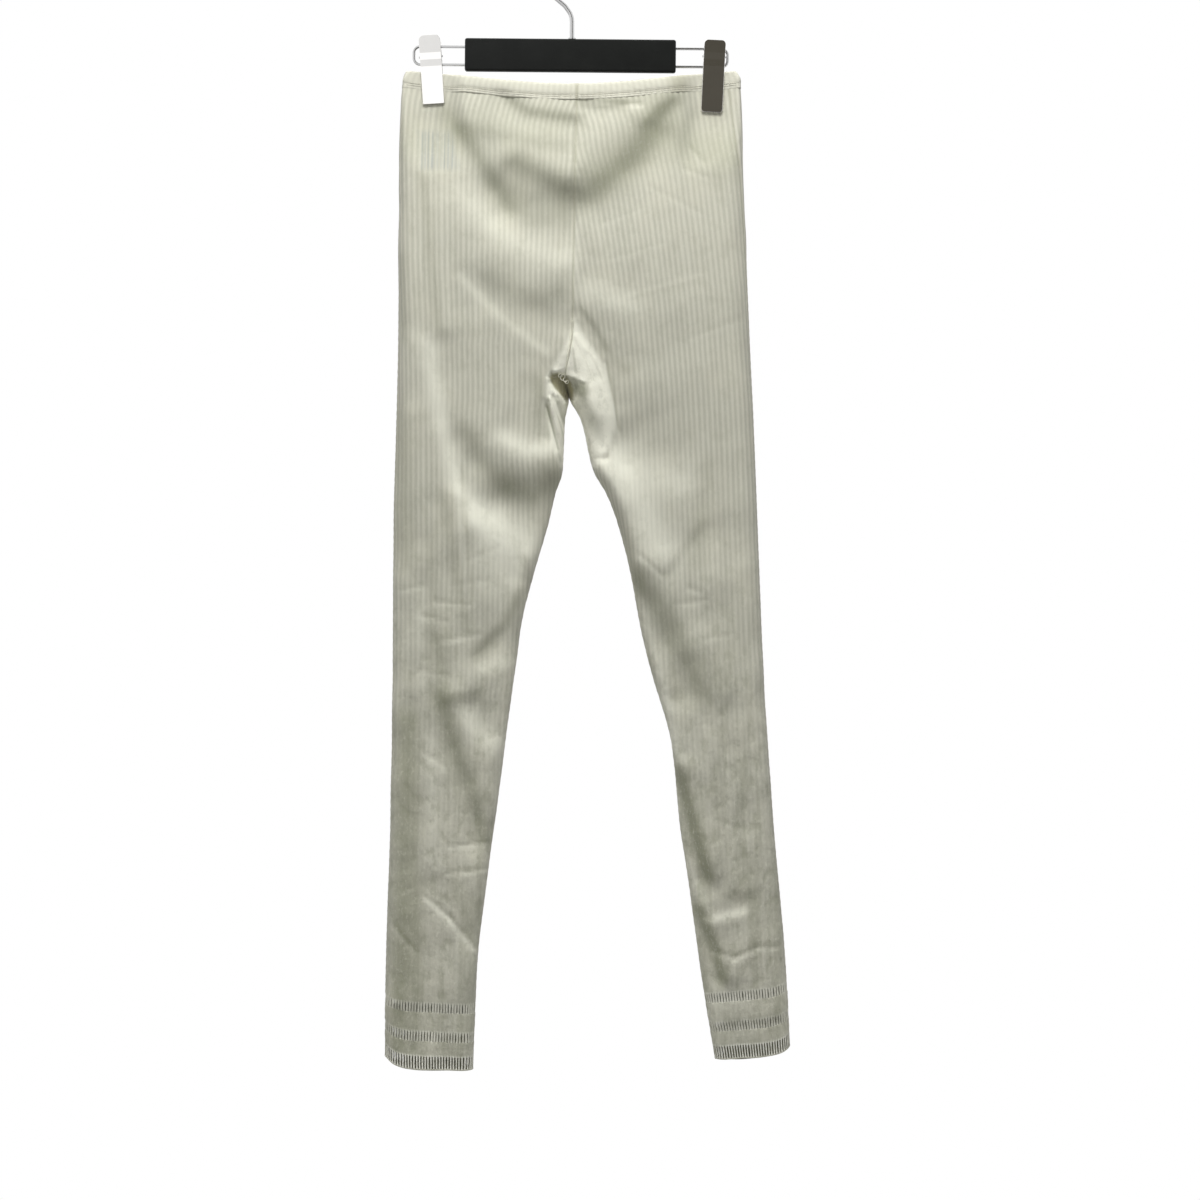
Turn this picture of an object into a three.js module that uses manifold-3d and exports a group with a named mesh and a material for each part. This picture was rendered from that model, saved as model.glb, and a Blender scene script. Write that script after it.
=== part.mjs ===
// Ribbed leggings, hung by the waistband on a hanger with two clips.
// Millimetres, +Z up. The origin is the inside top of the hook, where it rests on a rail.
// The side that faces -Y is called the front. Left and right are as seen from the front.
import * as THREE from 'three';
import { mergeVertices } from 'three/addons/utils/BufferGeometryUtils.js';
import Module from 'manifold-3d';

const wasm = await Module();
wasm.setup();

// Cloth sizes
const WALL = 1.3;
const BAND_WALL = 1.5;
const BAND_PROUD = 0.3;
const BAND_RIB_HEIGHT = 0.33;
const SEAM_GAP = 0.3;
const RIB_HEIGHT = 0.55;
const RIB_FADE = 6;
const LAST_COLUMN = 0.4;
const INSIDE_STEP = 12.5;
const INSIDE_CROWDING = 0.5;
const BAND_INSIDE_STEP = 7.8;
const LEAST_DEPTH = 1.9;
const BAND_TOP = -105.6;
const BAND_BOTTOM = -120.9;
const CROTCH = -415;
const SAG = { drop: 12.8, reach: 165, power: 1.6, end: -260 };
const CLIPPED = { halfWidth: 13, fade: 20, bottom: -147, end: 60 };
const LIFT_START = -900;
// Share of the depth beside a fold, and the heights over which the hip becomes two legs.
const FULLNESS = { hip: 0.8, leg: 0.85, legsFrom: -340, legsBy: -490 };

// Half widths seen from the front: the outer fold of each side, and where the two halves part.
const OUTLINE = [
  { z: -104, leftOuter: -157.0, rightOuter: 155.2 },
  { z: -114, leftOuter: -160.0, rightOuter: 159.6 },
  { z: -140, leftOuter: -162.6, rightOuter: 160.8 },
  { z: -228, leftOuter: -164.3, rightOuter: 163.4 },
  { z: -361, leftOuter: -164.6, rightOuter: 168.2 },
  { z: -437, leftOuter: -166.3, rightOuter: 172.0 },
  { z: -532, leftOuter: -169.0, rightOuter: 175.6 },
  { z: -675, leftOuter: -170.0, rightOuter: 181.5 },
  { z: -817, leftOuter: -172.2, rightOuter: 191.0 },
  { z: -960, leftOuter: -176.7, rightOuter: 203.3 },
  { z: -1060, leftOuter: -178.0, rightOuter: 208.5 },
];
const MIDDLE = [
  { z: -104, leftInner: 4.9, rightInner: 4.9 },
  { z: -200, leftInner: 2.9, rightInner: 2.9 },
  { z: -313, leftInner: 1.0, rightInner: 1.0 },
  { z: -350, leftInner: 0.6, rightInner: 0.6 },
  { z: -385, leftInner: -4.5, rightInner: -4.5 },
  { z: -398, leftInner: -6.8, rightInner: -6.2 },
  { z: -407, leftInner: -5.4, rightInner: -4.4 },
  { z: -415, leftInner: -3.5, rightInner: -2.6 },
  { z: -437, leftInner: -6.7, rightInner: 8.6 },
  { z: -484, leftInner: -8.8, rightInner: 20.0 },
  { z: -508, leftInner: -16.2, rightInner: 33.3 },
  { z: -532, leftInner: -21.6, rightInner: 42.4 },
  { z: -579, leftInner: -35.2, rightInner: 55.0 },
  { z: -627, leftInner: -47.5, rightInner: 63.7 },
  { z: -675, leftInner: -54.2, rightInner: 75.0 },
  { z: -745, leftInner: -63.7, rightInner: 94.6 },
  { z: -817, leftInner: -73.0, rightInner: 102.0 },
  { z: -888, leftInner: -82.7, rightInner: 112.4 },
  { z: -960, leftInner: -90.3, rightInner: 122.2 },
  { z: -1060, leftInner: -94.2, rightInner: 138.6 },
];

// Half depth of the hollow cloth, and how far the outer and inner folds take to round over.
const DEPTH = [
  { z: -104, half: 6.5, outerRound: 4.5, innerRound: 20 },
  { z: -125, half: 9.0, outerRound: 6.0, innerRound: 22 },
  { z: -165, half: 14.0, outerRound: 10.0, innerRound: 26 },
  { z: -220, half: 18.5, outerRound: 15.0, innerRound: 30 },
  { z: -300, half: 20.5, outerRound: 17.0, innerRound: 30 },
  { z: -380, half: 19.0, outerRound: 16.0, innerRound: 24 },
  { z: -415, half: 18.0, outerRound: 15.5, innerRound: 17 },
  { z: -470, half: 16.5, outerRound: 14.5, innerRound: 14 },
  { z: -560, half: 15.0, outerRound: 13.0, innerRound: 13 },
  { z: -700, half: 13.5, outerRound: 12.0, innerRound: 12 },
  { z: -850, half: 12.0, outerRound: 11.0, innerRound: 11 },
  { z: -1060, half: 10.5, outerRound: 10.0, innerRound: 10 },
];

// Share of the half depth that each layer still has at the middle seam as it turns under.
const TURN_UNDER = [
  { z: -320, front: 1.0, back: 1.0 },
  { z: -372, front: 0.97, back: 0.92 },
  { z: -390, front: 0.8, back: 0.76 },
  { z: -398, front: 0.5, back: 0.64 },
  { z: -407, front: 0.12, back: 0.48 },
  { z: -415, front: -0.2, back: 0.2 },
  { z: -450, front: -0.05, back: 0.05 },
  { z: -500, front: 0.0, back: 0.0 },
];

// The whole garment is turned a little, so the side seams lie beside the folds near the waist.
const SIDE_SEAM = [
  { z: -104, offset: 14.5 },
  { z: -155, offset: 13.5 },
  { z: -218, offset: 10.0 },
  { z: -294, offset: 6.0 },
  { z: -342, offset: 3.5 },
  { z: -430, offset: 1.0 },
  { z: -520, offset: 0.0 },
  { z: -1060, offset: 0.0 },
];
const RIBS = [
  { z: -104, pitch: 5.5 },
  { z: -250, pitch: 5.15 },
  { z: -400, pitch: 4.92 },
  { z: -1060, pitch: 4.85 },
];
const TILT = [
  { z: -440, left: 0.0, right: 0.0 },
  { z: -700, left: 0.05, right: 0.08 },
  { z: -950, left: 0.04, right: 0.09 },
  { z: -1060, left: 0.01, right: 0.055 },
];

// Heights of the rows of points: the hip in millimetres, the legs as shares down to the hem.
const HIP_ROWS = [-121.2, -146, -173, -203, -240, -280, -322, -360, -385, -398, -407, -415];
const LEG_ROWS = [0.03, 0.07, 0.125, 0.195, 0.28, 0.375, 0.48, 0.6, 0.72, 0.82, 0.92, 1];

// Largest folds: soft ridges (depth above 0) and troughs (below 0) along straight lines.
const FRONT_FOLDS = [
  { x0: -118, z0: -147, x1: -56, z1: -222, width: 21, depth: -7 },
  { x0: -52, z0: -226, x1: 2, z1: -234, width: 20, depth: -5 },
  { x0: 110, z0: -134, x1: 46, z1: -194, width: 19, depth: -6 },
  { x0: 44, z0: -198, x1: 6, z1: -226, width: 18, depth: -4 },
  { x0: -84, z0: -252, x1: -14, z1: -290, width: 19, depth: 4 },
  { x0: -36, z0: -336, x1: -8, z1: -352, width: 16, depth: -4 },
  { x0: 10, z0: -318, x1: 44, z1: -330, width: 17, depth: 3 },
  { x0: 8, z0: -358, x1: 64, z1: -386, width: 13, depth: -4 },
  { x0: -124, z0: -437, x1: -94, z1: -476, width: 15, depth: -5 },
  { x0: -92, z0: -478, x1: -30, z1: -500, width: 15, depth: -6 },
  { x0: -66, z0: -446, x1: -30, z1: -462, width: 18, depth: 4 },
  { x0: -49, z0: -598, x1: -92, z1: -650, width: 15, depth: -4 },
  { x0: 52, z0: -500, x1: 76, z1: -560, width: 19, depth: 4 },
  { x0: 34, z0: -505, x1: 66, z1: -610, width: 13, depth: -4 },
  { x0: 68, z0: -614, x1: 112, z1: -694, width: 14, depth: -5 },
  { x0: -125, z0: -722, x1: -88, z1: -779, width: 14, depth: -3 },
  { x0: 112, z0: -780, x1: 128, z1: -800, width: 16, depth: -3 },
];
const BACK_FOLDS = [
  { x0: -108, z0: -150, x1: -40, z1: -205, width: 21, depth: -6 },
  { x0: 106, z0: -150, x1: 44, z1: -210, width: 20, depth: -6 },
  { x0: -30, z0: -236, x1: 34, z1: -240, width: 22, depth: -4 },
  { x0: -95, z0: -300, x1: -60, z1: -330, width: 34, depth: 5 },
  { x0: 62, z0: -296, x1: 98, z1: -322, width: 34, depth: 5 },
  { x0: -84, z0: -392, x1: -24, z1: -372, width: 15, depth: -4 },
  { x0: 20, z0: -374, x1: 88, z1: -398, width: 15, depth: -4 },
  { x0: -120, z0: -640, x1: -78, z1: -622, width: 14, depth: -4 },
  { x0: 92, z0: -612, x1: 146, z1: -640, width: 14, depth: -4 },
  { x0: -140, z0: -860, x1: -104, z1: -840, width: 15, depth: -3 },
  { x0: 138, z0: -850, x1: 170, z1: -874, width: 15, depth: -3 },
];

// The two halves: which table columns they use, which way the side seam is turned, and the hem.
const LEFT = {
  name: 'left', side: -1, outer: 'leftOuter', inner: 'leftInner', seamTurn: 1,
  hem: -1053.2, lift: 11.5, liftPower: 7, clipX: -133.1, clipLean: 0.063,
};
const RIGHT = {
  name: 'right', side: 1, outer: 'rightOuter', inner: 'rightInner', seamTurn: -1,
  hem: -1043, lift: 7.5, liftPower: 7, clipX: 134.4, clipLean: -0.048,
};

// Care label: a blank tag from the left side seam.
const LABEL = { top: -167, bottom: -203, length: 52, thick: 0.5, clear: 0.9, bow: 1.2, columns: 4 };

// Hanger sizes
const HOOK = { inside: 20, wire: 2.2, bend: -51.1, foot: -80.2, endAngle: -15, sides: 8 };
const BAR = { from: -101.6, to: 98.8, top: -75.2, tall: 31, thick: 8, corner: 2.4 };
const LOOP = { from: -150, to: 148, upper: -83.2, lower: -100.3, wire: 1.3, corner: 6, sides: 8 };
const BORE_CLEAR = 0.35;
const HANGER_LEAN = THREE.MathUtils.degToRad(0.5);
const JAW = { width: 20.5, thick: 1.3, grip: 2.35, onWire: 1.7, atSpring: 3.8, lever: 8.2 };
const SPRING = { radius: 3.4, length: 14, z: -91.7 };
const CLIPS = [
  { name: 'left', x: -133.5, top: -72.6, bottom: -137, lean: 3.6, topCorner: 5, bottomCorner: 1.2 },
  { name: 'right', x: 134.7, top: -77.2, bottom: -145, lean: -2.75, topCorner: 4, bottomCorner: 3 },
];

const CLOTH = new THREE.MeshStandardMaterial({ color: 0xd2d0be, roughness: 0.85 });
const BAND_CLOTH = new THREE.MeshStandardMaterial({ color: 0xdedccb, roughness: 0.85 });
const TAG = new THREE.MeshStandardMaterial({ color: 0xe6e6e2, roughness: 0.7 });
const BLACK = new THREE.MeshStandardMaterial({ color: 0x262827, roughness: 0.55 });
const CHROME = new THREE.MeshStandardMaterial({ color: 0xc8cacb, roughness: 0.15, metalness: 1 });

const lerp = (a, b, t) => a + (b - a) * t;
const clamp01 = (t) => Math.min(1, Math.max(0, t));
const ease = (t) => clamp01(t) ** 2 * (3 - 2 * clamp01(t));
const roundOver = (t) => (t >= 1 ? 1 : Math.sqrt(Math.max(0, 1 - (1 - t) ** 2)));

// Value of one column of a table at a height, on straight lines between its rows.
function readStraight(table, column, z) {
  const below = table.findIndex((row) => row.z < z);
  if (below < 1) return below === 0 ? table[0][column] : table.at(-1)[column];
  const [a, b] = [table[below - 1], table[below]];
  return lerp(a[column], b[column], (z - a.z) / (b.z - a.z));
}

// Value of one column of a table at a height, smooth between rows that run down in z.
function read(table, column, z) {
  const last = table.length - 1;
  if (z >= table[0].z) return table[0][column];
  if (z <= table[last].z) return table[last][column];
  const i = table.findIndex((row) => row.z < z) - 1;
  const slope = (k) => (table[k + 1][column] - table[k][column]) / (table[k + 1].z - table[k].z);
  const tangent = (k) => {
    if (k === 0) return slope(0);
    if (k === last) return slope(last - 1);
    const [before, after] = [slope(k - 1), slope(k)];
    return before * after <= 0 ? 0 : (2 * before * after) / (before + after);
  };
  const span = table[i + 1].z - table[i].z;
  const t = (z - table[i].z) / span;
  const [a, b] = [table[i][column], table[i + 1][column]];
  const hermiteA = (1 + 2 * t) * (1 - t) ** 2 * a + t * (1 - t) ** 2 * span * tangent(i);
  return hermiteA + t * t * (3 - 2 * t) * b + t * t * (t - 1) * span * tangent(i + 1);
}

// Sum of the soft folds at a place on one layer.
function foldAt(folds, x, z) {
  let sum = 0;
  for (const fold of folds) {
    const [dx, dz] = [fold.x1 - fold.x0, fold.z1 - fold.z0];
    const along = clamp01(((x - fold.x0) * dx + (z - fold.z0) * dz) / (dx * dx + dz * dz));
    const gap = Math.hypot(x - fold.x0 - along * dx, z - fold.z0 - along * dz);
    sum += fold.depth * Math.exp(-((gap / fold.width) ** 2));
  }
  return sum;
}

// How much the clip of a half presses the layers together: 1 under the jaws, 0 away from them.
function pressed(half, x, z) {
  const centre = half.clipX + half.clipLean * (BAND_TOP - z);
  const across = 1 - ease((Math.abs(x - centre) - CLIPPED.halfWidth) / CLIPPED.fade);
  return across * ease((z - CLIPPED.bottom + CLIPPED.end) / CLIPPED.end);
}

// Where a row of points runs from the outer fold (u = 0) to the middle (u = 1).
function rowLine(half, zRow) {
  const width = Math.abs(read(OUTLINE, half.outer, zRow) - read(MIDDLE, half.inner, zRow));
  const lift = half.lift * ease((LIFT_START - zRow) / (LIFT_START - half.hem));
  const tilt = read(TILT, half.name, zRow);
  const sag = SAG.drop * ease((zRow - SAG.end) / (BAND_TOP - SAG.end));
  const outer = read(OUTLINE, half.outer, zRow + tilt * width + lift);
  const seam = zRow > CROTCH ? (half.side * SEAM_GAP) / 2 : 0;
  const inner = read(MIDDLE, half.inner, zRow) + seam;
  return (u) => {
    const x = lerp(outer, inner, u);
    const droop = sag * Math.cos((Math.PI / 2) * clamp01(Math.abs(x) / SAG.reach)) ** SAG.power;
    const z = zRow - droop + tilt * Math.abs(x - inner) + lift * (1 - u) ** half.liftPower;
    return { x, z, outer, inner };
  };
}

// Distance of a layer from the middle plane. folds is the layer's table.
function layerDepth(half, layer, folds, zRow, u, place) {
  const { hip, leg, legsFrom, legsBy } = FULLNESS;
  const hipShare = hip + (1 - hip) * Math.sin((Math.PI / 2) * u);
  const legShare = leg + (1 - leg) * Math.sin(Math.PI * u);
  const full = lerp(hipShare, legShare, ease((zRow - legsFrom) / (legsBy - legsFrom)));
  const press = pressed(half, place.x, place.z);
  const open = lerp(read(DEPTH, 'half', zRow) * full, LEAST_DEPTH, press);
  const fold = foldAt(folds, place.x, place.z) * (1 - press);
  const outer = roundOver(Math.abs(place.x - place.outer) / read(DEPTH, 'outerRound', zRow));
  const depth = Math.max(LEAST_DEPTH, open + fold) * outer;
  const share = readStraight(TURN_UNDER, layer, zRow);
  const edge = share * (open + fold * Math.max(0, share) ** 2);
  const inner = roundOver(Math.abs(place.x - place.inner) / read(DEPTH, 'innerRound', zRow));
  return edge + (depth - edge) * inner;
}

// One half of a section: from the front middle round the outer fold to the back middle.
const SAMPLES = 72;
function section(half, zRow) {
  const line = rowLine(half, zRow);
  const points = [];
  const add = (u, layer, folds, way) => {
    const place = line(u);
    const y = way * layerDepth(half, layer, folds, zRow, u, place);
    points.push(new THREE.Vector3(place.x, y, place.z));
  };
  const spread = (k) => (1 - Math.cos((Math.PI * k) / SAMPLES)) / 2;
  for (let k = SAMPLES; k >= 0; k--) add(spread(k), 'front', FRONT_FOLDS, -1);
  for (let k = 1; k <= SAMPLES; k++) add(spread(k), 'back', BACK_FOLDS, 1);
  return measured(points, half.side, SAMPLES);
}

// A polyline with its running length, read at any length with the outward normal.
function measured(points, side, foldIndex) {
  const arc = [0];
  for (let i = 1; i < points.length; i++) arc.push(arc[i - 1] + points[i].distanceTo(points[i - 1]));
  const at = (length) => {
    let i = 1;
    while (i < points.length - 1 && arc[i] < length) i++;
    const t = (length - arc[i - 1]) / (arc[i] - arc[i - 1]);
    return points[i - 1].clone().lerp(points[i], t);
  };
  const reach = 0.6;
  const normal = (length) => {
    const ahead = at(Math.min(arc.at(-1), length + reach));
    const behind = at(Math.max(0, length - reach));
    const along = ahead.sub(behind);
    return new THREE.Vector3(along.y, -along.x, 0).multiplyScalar(side).normalize();
  };
  return { at, normal, length: arc.at(-1), fold: arc[foldIndex] };
}

// Height of a rib: every second column is a ridge, fading out at the middle seams and clips.
function ribHeight(column, toEdge, half, point) {
  if (column % 2 === 0) return 0;
  return RIB_HEIGHT * ease(toEdge / RIB_FADE) * (1 - pressed(half, point.x, point.z));
}

// One row of a leg panel, from the side seam to the middle: ribbed outside, plain inside.
function panelRow(half, layer, zRow) {
  const ring = section(half, zRow);
  const seam = ring.fold + half.seamTurn * read(SIDE_SEAM, 'offset', zRow);
  const endGap = zRow > CROTCH ? 0 : SEAM_GAP / 2;
  const way = layer === 'front' ? -1 : 1;
  const start = seam + (way * SEAM_GAP) / 2;
  const span = layer === 'front' ? start - endGap : ring.length - endGap - start;
  const step = read(RIBS, 'pitch', zRow) / 2;
  const columns = [];
  for (let j = 0; j < span / step - LAST_COLUMN; j++) columns.push(j);
  columns.push(span / step);
  const outside = columns.map((column) => {
    const length = start + way * column * step;
    const point = ring.at(length);
    const height = Number.isInteger(column) ? ribHeight(column, span - column * step, half, point) : 0;
    return point.addScaledVector(ring.normal(length), height);
  });
  const count = Math.max(6, Math.round(span / INSIDE_STEP));
  const crowded = (t) => lerp(t, (1 - Math.cos(Math.PI * t)) / 2, INSIDE_CROWDING);
  const shares = Array.from({ length: count + 1 }, (_, k) => crowded(k / count));
  const inside = shares.map((share) => {
    const length = start + way * share * span;
    return ring.at(length).addScaledVector(ring.normal(length), -WALL);
  });
  return { outside, columns, inside, shares };
}

// Triangles between two runs of vertices whose keys both rise.
function zip(faces, a, aKeys, b, bKeys, turned) {
  let [i, j] = [0, 0];
  while (i < a.length - 1 || j < b.length - 1) {
    const stepA = j === b.length - 1 || (i < a.length - 1 && aKeys[i + 1] <= bKeys[j + 1]);
    const face = stepA ? [a[i], a[i + 1], b[j]] : [a[i], b[j + 1], b[j]];
    faces.push(...(turned ? face.reverse() : face));
    if (stepA) i++;
    else j++;
  }
}

// A closed wall from rows of outside and inside points.
function wallFromRows(rows) {
  const vertices = [];
  const faces = [];
  const number = (points) => points.map((point) => vertices.push(point) - 1);
  const numbered = rows.map((row) => ({
    outside: number(row.outside), columns: row.columns, inside: number(row.inside), shares: row.shares,
  }));
  const share = (row) => row.columns.map((column) => column / row.columns.at(-1));
  for (let r = 0; r < numbered.length - 1; r++) {
    const [up, down] = [numbered[r], numbered[r + 1]];
    zip(faces, up.outside, up.columns, down.outside, down.columns, false);
    zip(faces, up.inside, up.shares, down.inside, down.shares, true);
    for (const [end, turned] of [[0, false], [-1, true]]) {
      const edge = [up.outside.at(end), down.outside.at(end)];
      const inner = [up.inside.at(end), down.inside.at(end)];
      zip(faces, edge, [0, 1], inner, [0, 1], turned);
    }
  }
  const [first, last] = [numbered[0], numbered.at(-1)];
  zip(faces, first.outside, share(first), first.inside, first.shares, true);
  zip(faces, last.outside, share(last), last.inside, last.shares, false);
  return solidOf(vertices, faces);
}

// Geometry from vertices and faces, turned inside out if its volume comes out negative.
function solidOf(vertices, faces) {
  let volume = 0;
  for (let i = 0; i < faces.length; i += 3) {
    const [a, b, c] = [vertices[faces[i]], vertices[faces[i + 1]], vertices[faces[i + 2]]];
    volume += a.dot(b.clone().cross(c));
  }
  const index = volume < 0 ? [...faces].reverse() : faces;
  const places = vertices.flatMap((vertex) => vertex.toArray());
  const geometry = new THREE.BufferGeometry();
  geometry.setAttribute('position', new THREE.Float32BufferAttribute(places, 3));
  geometry.setIndex(index);
  return geometry;
}

function rowHeights(half) {
  return [...HIP_ROWS, ...LEG_ROWS.map((share) => lerp(CROTCH, half.hem, share))];
}

function legPanel(half, layer) {
  return wallFromRows(rowHeights(half).map((z) => panelRow(half, layer, z)));
}

// The waistband runs once round the waist, from its joint at the front middle and back to it.
function waistband() {
  const heights = [BAND_TOP, BAND_BOTTOM];
  const around = (zRow) => section(LEFT, zRow).length + section(RIGHT, zRow).length;
  const count = 2 * Math.round(around(BAND_BOTTOM) / read(RIBS, 'pitch', BAND_BOTTOM));
  const inner = Math.round(around(BAND_BOTTOM) / BAND_INSIDE_STEP);
  const rows = heights.map((zRow) => {
    const [left, right] = [section(LEFT, zRow), section(RIGHT, zRow)];
    const total = left.length + right.length;
    const pick = (length) => {
      const onLeft = length <= left.length;
      const [ring, half] = onLeft ? [left, LEFT] : [right, RIGHT];
      const along = onLeft ? length : total - length;
      return { point: ring.at(along), normal: ring.normal(along), half };
    };
    const columns = Array.from({ length: count + 1 }, (_, j) => j);
    const outside = columns.map((column) => {
      const { point, normal, half } = pick((column / count) * total);
      const loose = 1 - pressed(half, point.x, point.z);
      const rib = column % 2 ? BAND_RIB_HEIGHT * loose : 0;
      return point.addScaledVector(normal, BAND_PROUD * loose + rib);
    });
    const shares = Array.from({ length: inner + 1 }, (_, k) => k / inner);
    const inside = shares.map((share) => {
      const { point, normal } = pick(share * total);
      return point.addScaledVector(normal, BAND_PROUD - BAND_WALL);
    });
    return { outside, columns, inside, shares };
  });
  return wallFromRows(rows);
}

// A blank tag sewn into the left side seam, hanging between the layers.
function careLabel() {
  const rows = [LABEL.top, (LABEL.top + LABEL.bottom) / 2, LABEL.bottom].map((z) => {
    const start = read(OUTLINE, 'leftOuter', z) + WALL + LABEL.clear;
    const columns = Array.from({ length: LABEL.columns + 1 }, (_, k) => k);
    const shares = columns.map((column) => column / LABEL.columns);
    const side = (y) => shares.map((share) => (
      new THREE.Vector3(start + LABEL.length * share, y + LABEL.bow * Math.sin(Math.PI * share), z)
    ));
    return { outside: side(-LABEL.thick / 2), columns, inside: side(LABEL.thick / 2), shares };
  });
  return wallFromRows(rows);
}

// A round wire along points in the XZ plane, closed at both ends.
function wire(points, radius, sides) {
  const vertices = [];
  const faces = [];
  const direction = (from, to) => to.clone().sub(from).normalize();
  const last = points.length - 1;
  points.forEach((point, i) => {
    const before = direction(points[Math.max(0, i - 1)], points[Math.max(1, i)]);
    const after = direction(points[Math.min(last - 1, i)], points[Math.min(last, i + 1)]);
    const along = before.clone().add(after).normalize();
    const stretch = 1 / Math.max(0.5, along.dot(before));
    const across = new THREE.Vector3(along.z, 0, -along.x);
    for (let k = 0; k < sides; k++) {
      const turn = (2 * Math.PI * (k + 0.5)) / sides;
      const vertex = point.clone().addScaledVector(across, radius * Math.cos(turn) * stretch);
      vertices.push(vertex.add(new THREE.Vector3(0, radius * Math.sin(turn), 0)));
    }
  });
  for (let i = 0; i < last; i++) {
    for (let k = 0; k < sides; k++) {
      const next = (k + 1) % sides;
      const [a, b] = [i * sides + k, i * sides + next];
      const [c, d] = [a + sides, b + sides];
      faces.push(a, b, c, b, d, c);
    }
  }
  const end = last * sides;
  for (let k = 1; k < sides - 1; k++) faces.push(0, k + 1, k, end, end + k, end + k + 1);
  return solidOf(vertices, faces);
}

const inPlane = (x, z) => new THREE.Vector3(x, 0, z);

function hookPoints() {
  const radius = HOOK.inside + HOOK.wire;
  const points = [inPlane(0, HOOK.foot), inPlane(0, HOOK.bend - 5), inPlane(-0.9, HOOK.bend - 1.6)];
  points.push(inPlane(-3.2, HOOK.bend + 3.0));
  for (let angle = 225; angle >= HOOK.endAngle; angle -= 15) {
    const turn = THREE.MathUtils.degToRad(angle);
    points.push(inPlane(radius * Math.cos(turn), radius * Math.sin(turn) - HOOK.inside));
  }
  return points;
}

// The loop's two ends meet inside the bar, on the lower run.
function loopPoints() {
  const { from, to, upper, lower, corner } = LOOP;
  const middle = (BAR.from + BAR.to) / 2;
  const points = [inPlane(middle + 1, lower)];
  const bend = (x, z, startAngle) => {
    for (let k = 0; k <= 4; k++) {
      const turn = THREE.MathUtils.degToRad(startAngle + k * 22.5);
      points.push(inPlane(x + corner * Math.cos(turn), z + corner * Math.sin(turn)));
    }
  };
  bend(to - corner, lower + corner, -90);
  bend(to - corner, upper - corner, 0);
  bend(from + corner, upper - corner, 90);
  bend(from + corner, lower + corner, 180);
  points.push(inPlane(middle - 1, lower));
  return points;
}

// A solid for cutting and joining, from a closed geometry.
function solid(geometry) {
  const bare = geometry.clone();
  bare.deleteAttribute('normal');
  bare.deleteAttribute('uv');
  const merged = mergeVertices(bare, 1e-4);
  return new wasm.Manifold(new wasm.Mesh({
    numProp: 3,
    vertProperties: new Float32Array(merged.attributes.position.array),
    triVerts: new Uint32Array(merged.index.array),
  }));
}

function geometryOf(shape) {
  const mesh = shape.getMesh();
  const geometry = new THREE.BufferGeometry();
  geometry.setAttribute('position', new THREE.Float32BufferAttribute(mesh.vertProperties, 3));
  geometry.setIndex([...mesh.triVerts]);
  return geometry;
}

function roundedRectangle(width, height, corners) {
  const shape = new THREE.Shape();
  const [w, h] = [width / 2, height / 2];
  const [top, bottom] = corners;
  shape.moveTo(-w + bottom, -h);
  shape.lineTo(w - bottom, -h);
  shape.absarc(w - bottom, -h + bottom, bottom, -Math.PI / 2, 0);
  shape.lineTo(w, h - top);
  shape.absarc(w - top, h - top, top, 0, Math.PI / 2);
  shape.lineTo(-w + top, h);
  shape.absarc(-w + top, h - top, top, Math.PI / 2, Math.PI);
  shape.lineTo(-w, -h + bottom);
  shape.absarc(-w + bottom, -h + bottom, bottom, Math.PI, Math.PI * 1.5);
  return shape;
}

// The plastic bar: a rounded section with two bores for the wire and a socket for the hook.
function hangerBar() {
  const middle = BAR.top - BAR.tall / 2;
  const profile = roundedRectangle(BAR.thick, BAR.tall, [BAR.corner, BAR.corner]);
  for (const z of [LOOP.upper, LOOP.lower]) {
    const bore = new THREE.Path();
    bore.absarc(0, z - middle, LOOP.wire + BORE_CLEAR, 0, 2 * Math.PI, true);
    profile.holes.push(bore);
  }
  const body = new THREE.ExtrudeGeometry(profile, {
    depth: BAR.to - BAR.from, bevelEnabled: false, curveSegments: 4,
  });
  body.applyMatrix4(new THREE.Matrix4().makeBasis(
    new THREE.Vector3(0, 1, 0), new THREE.Vector3(0, 0, 1), new THREE.Vector3(1, 0, 0),
  ));
  body.translate(BAR.from, 0, middle);
  const deep = BAR.top - HOOK.foot + BORE_CLEAR;
  const socket = new THREE.CylinderGeometry(HOOK.wire + BORE_CLEAR, HOOK.wire + BORE_CLEAR, 2 * deep, 12);
  socket.rotateX(Math.PI / 2);
  socket.translate(0, 0, BAR.top);
  return geometryOf(solid(body).subtract(solid(socket)));
}

// One jaw: a bent strip seen from the side, trimmed to a plate with round corners.
// Its inner face has a dent that sits on the wire, and its outer face runs straight past it.
function jaw(clip, way) {
  const { grip, onWire, atSpring, lever, thick, width } = JAW;
  const inner = [
    [grip, clip.bottom], [grip, -107.5], [onWire, -102], [onWire, -98.8],
    [atSpring, -95], [atSpring, -88.4], [lever, clip.top],
  ];
  const outer = inner.filter(([y]) => y !== onWire).map(([y, z]) => [y + thick, z]).reverse();
  const profile = new THREE.Shape([...inner, ...outer].map(([y, z]) => new THREE.Vector2(way * y, z)));
  const strip = new THREE.ExtrudeGeometry(profile, { depth: width, bevelEnabled: false });
  strip.applyMatrix4(new THREE.Matrix4().makeBasis(
    new THREE.Vector3(0, 1, 0), new THREE.Vector3(0, 0, 1), new THREE.Vector3(1, 0, 0),
  ));
  strip.translate(-width / 2, 0, 0);
  const tall = clip.top - clip.bottom;
  const outline = roundedRectangle(width, tall, [clip.topCorner, clip.bottomCorner]);
  const plate = new THREE.ExtrudeGeometry(outline, { depth: 40, bevelEnabled: false, curveSegments: 4 });
  plate.rotateX(Math.PI / 2);
  plate.translate(0, 20, (clip.top + clip.bottom) / 2);
  return geometryOf(solid(strip).intersect(solid(plate)));
}

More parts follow.
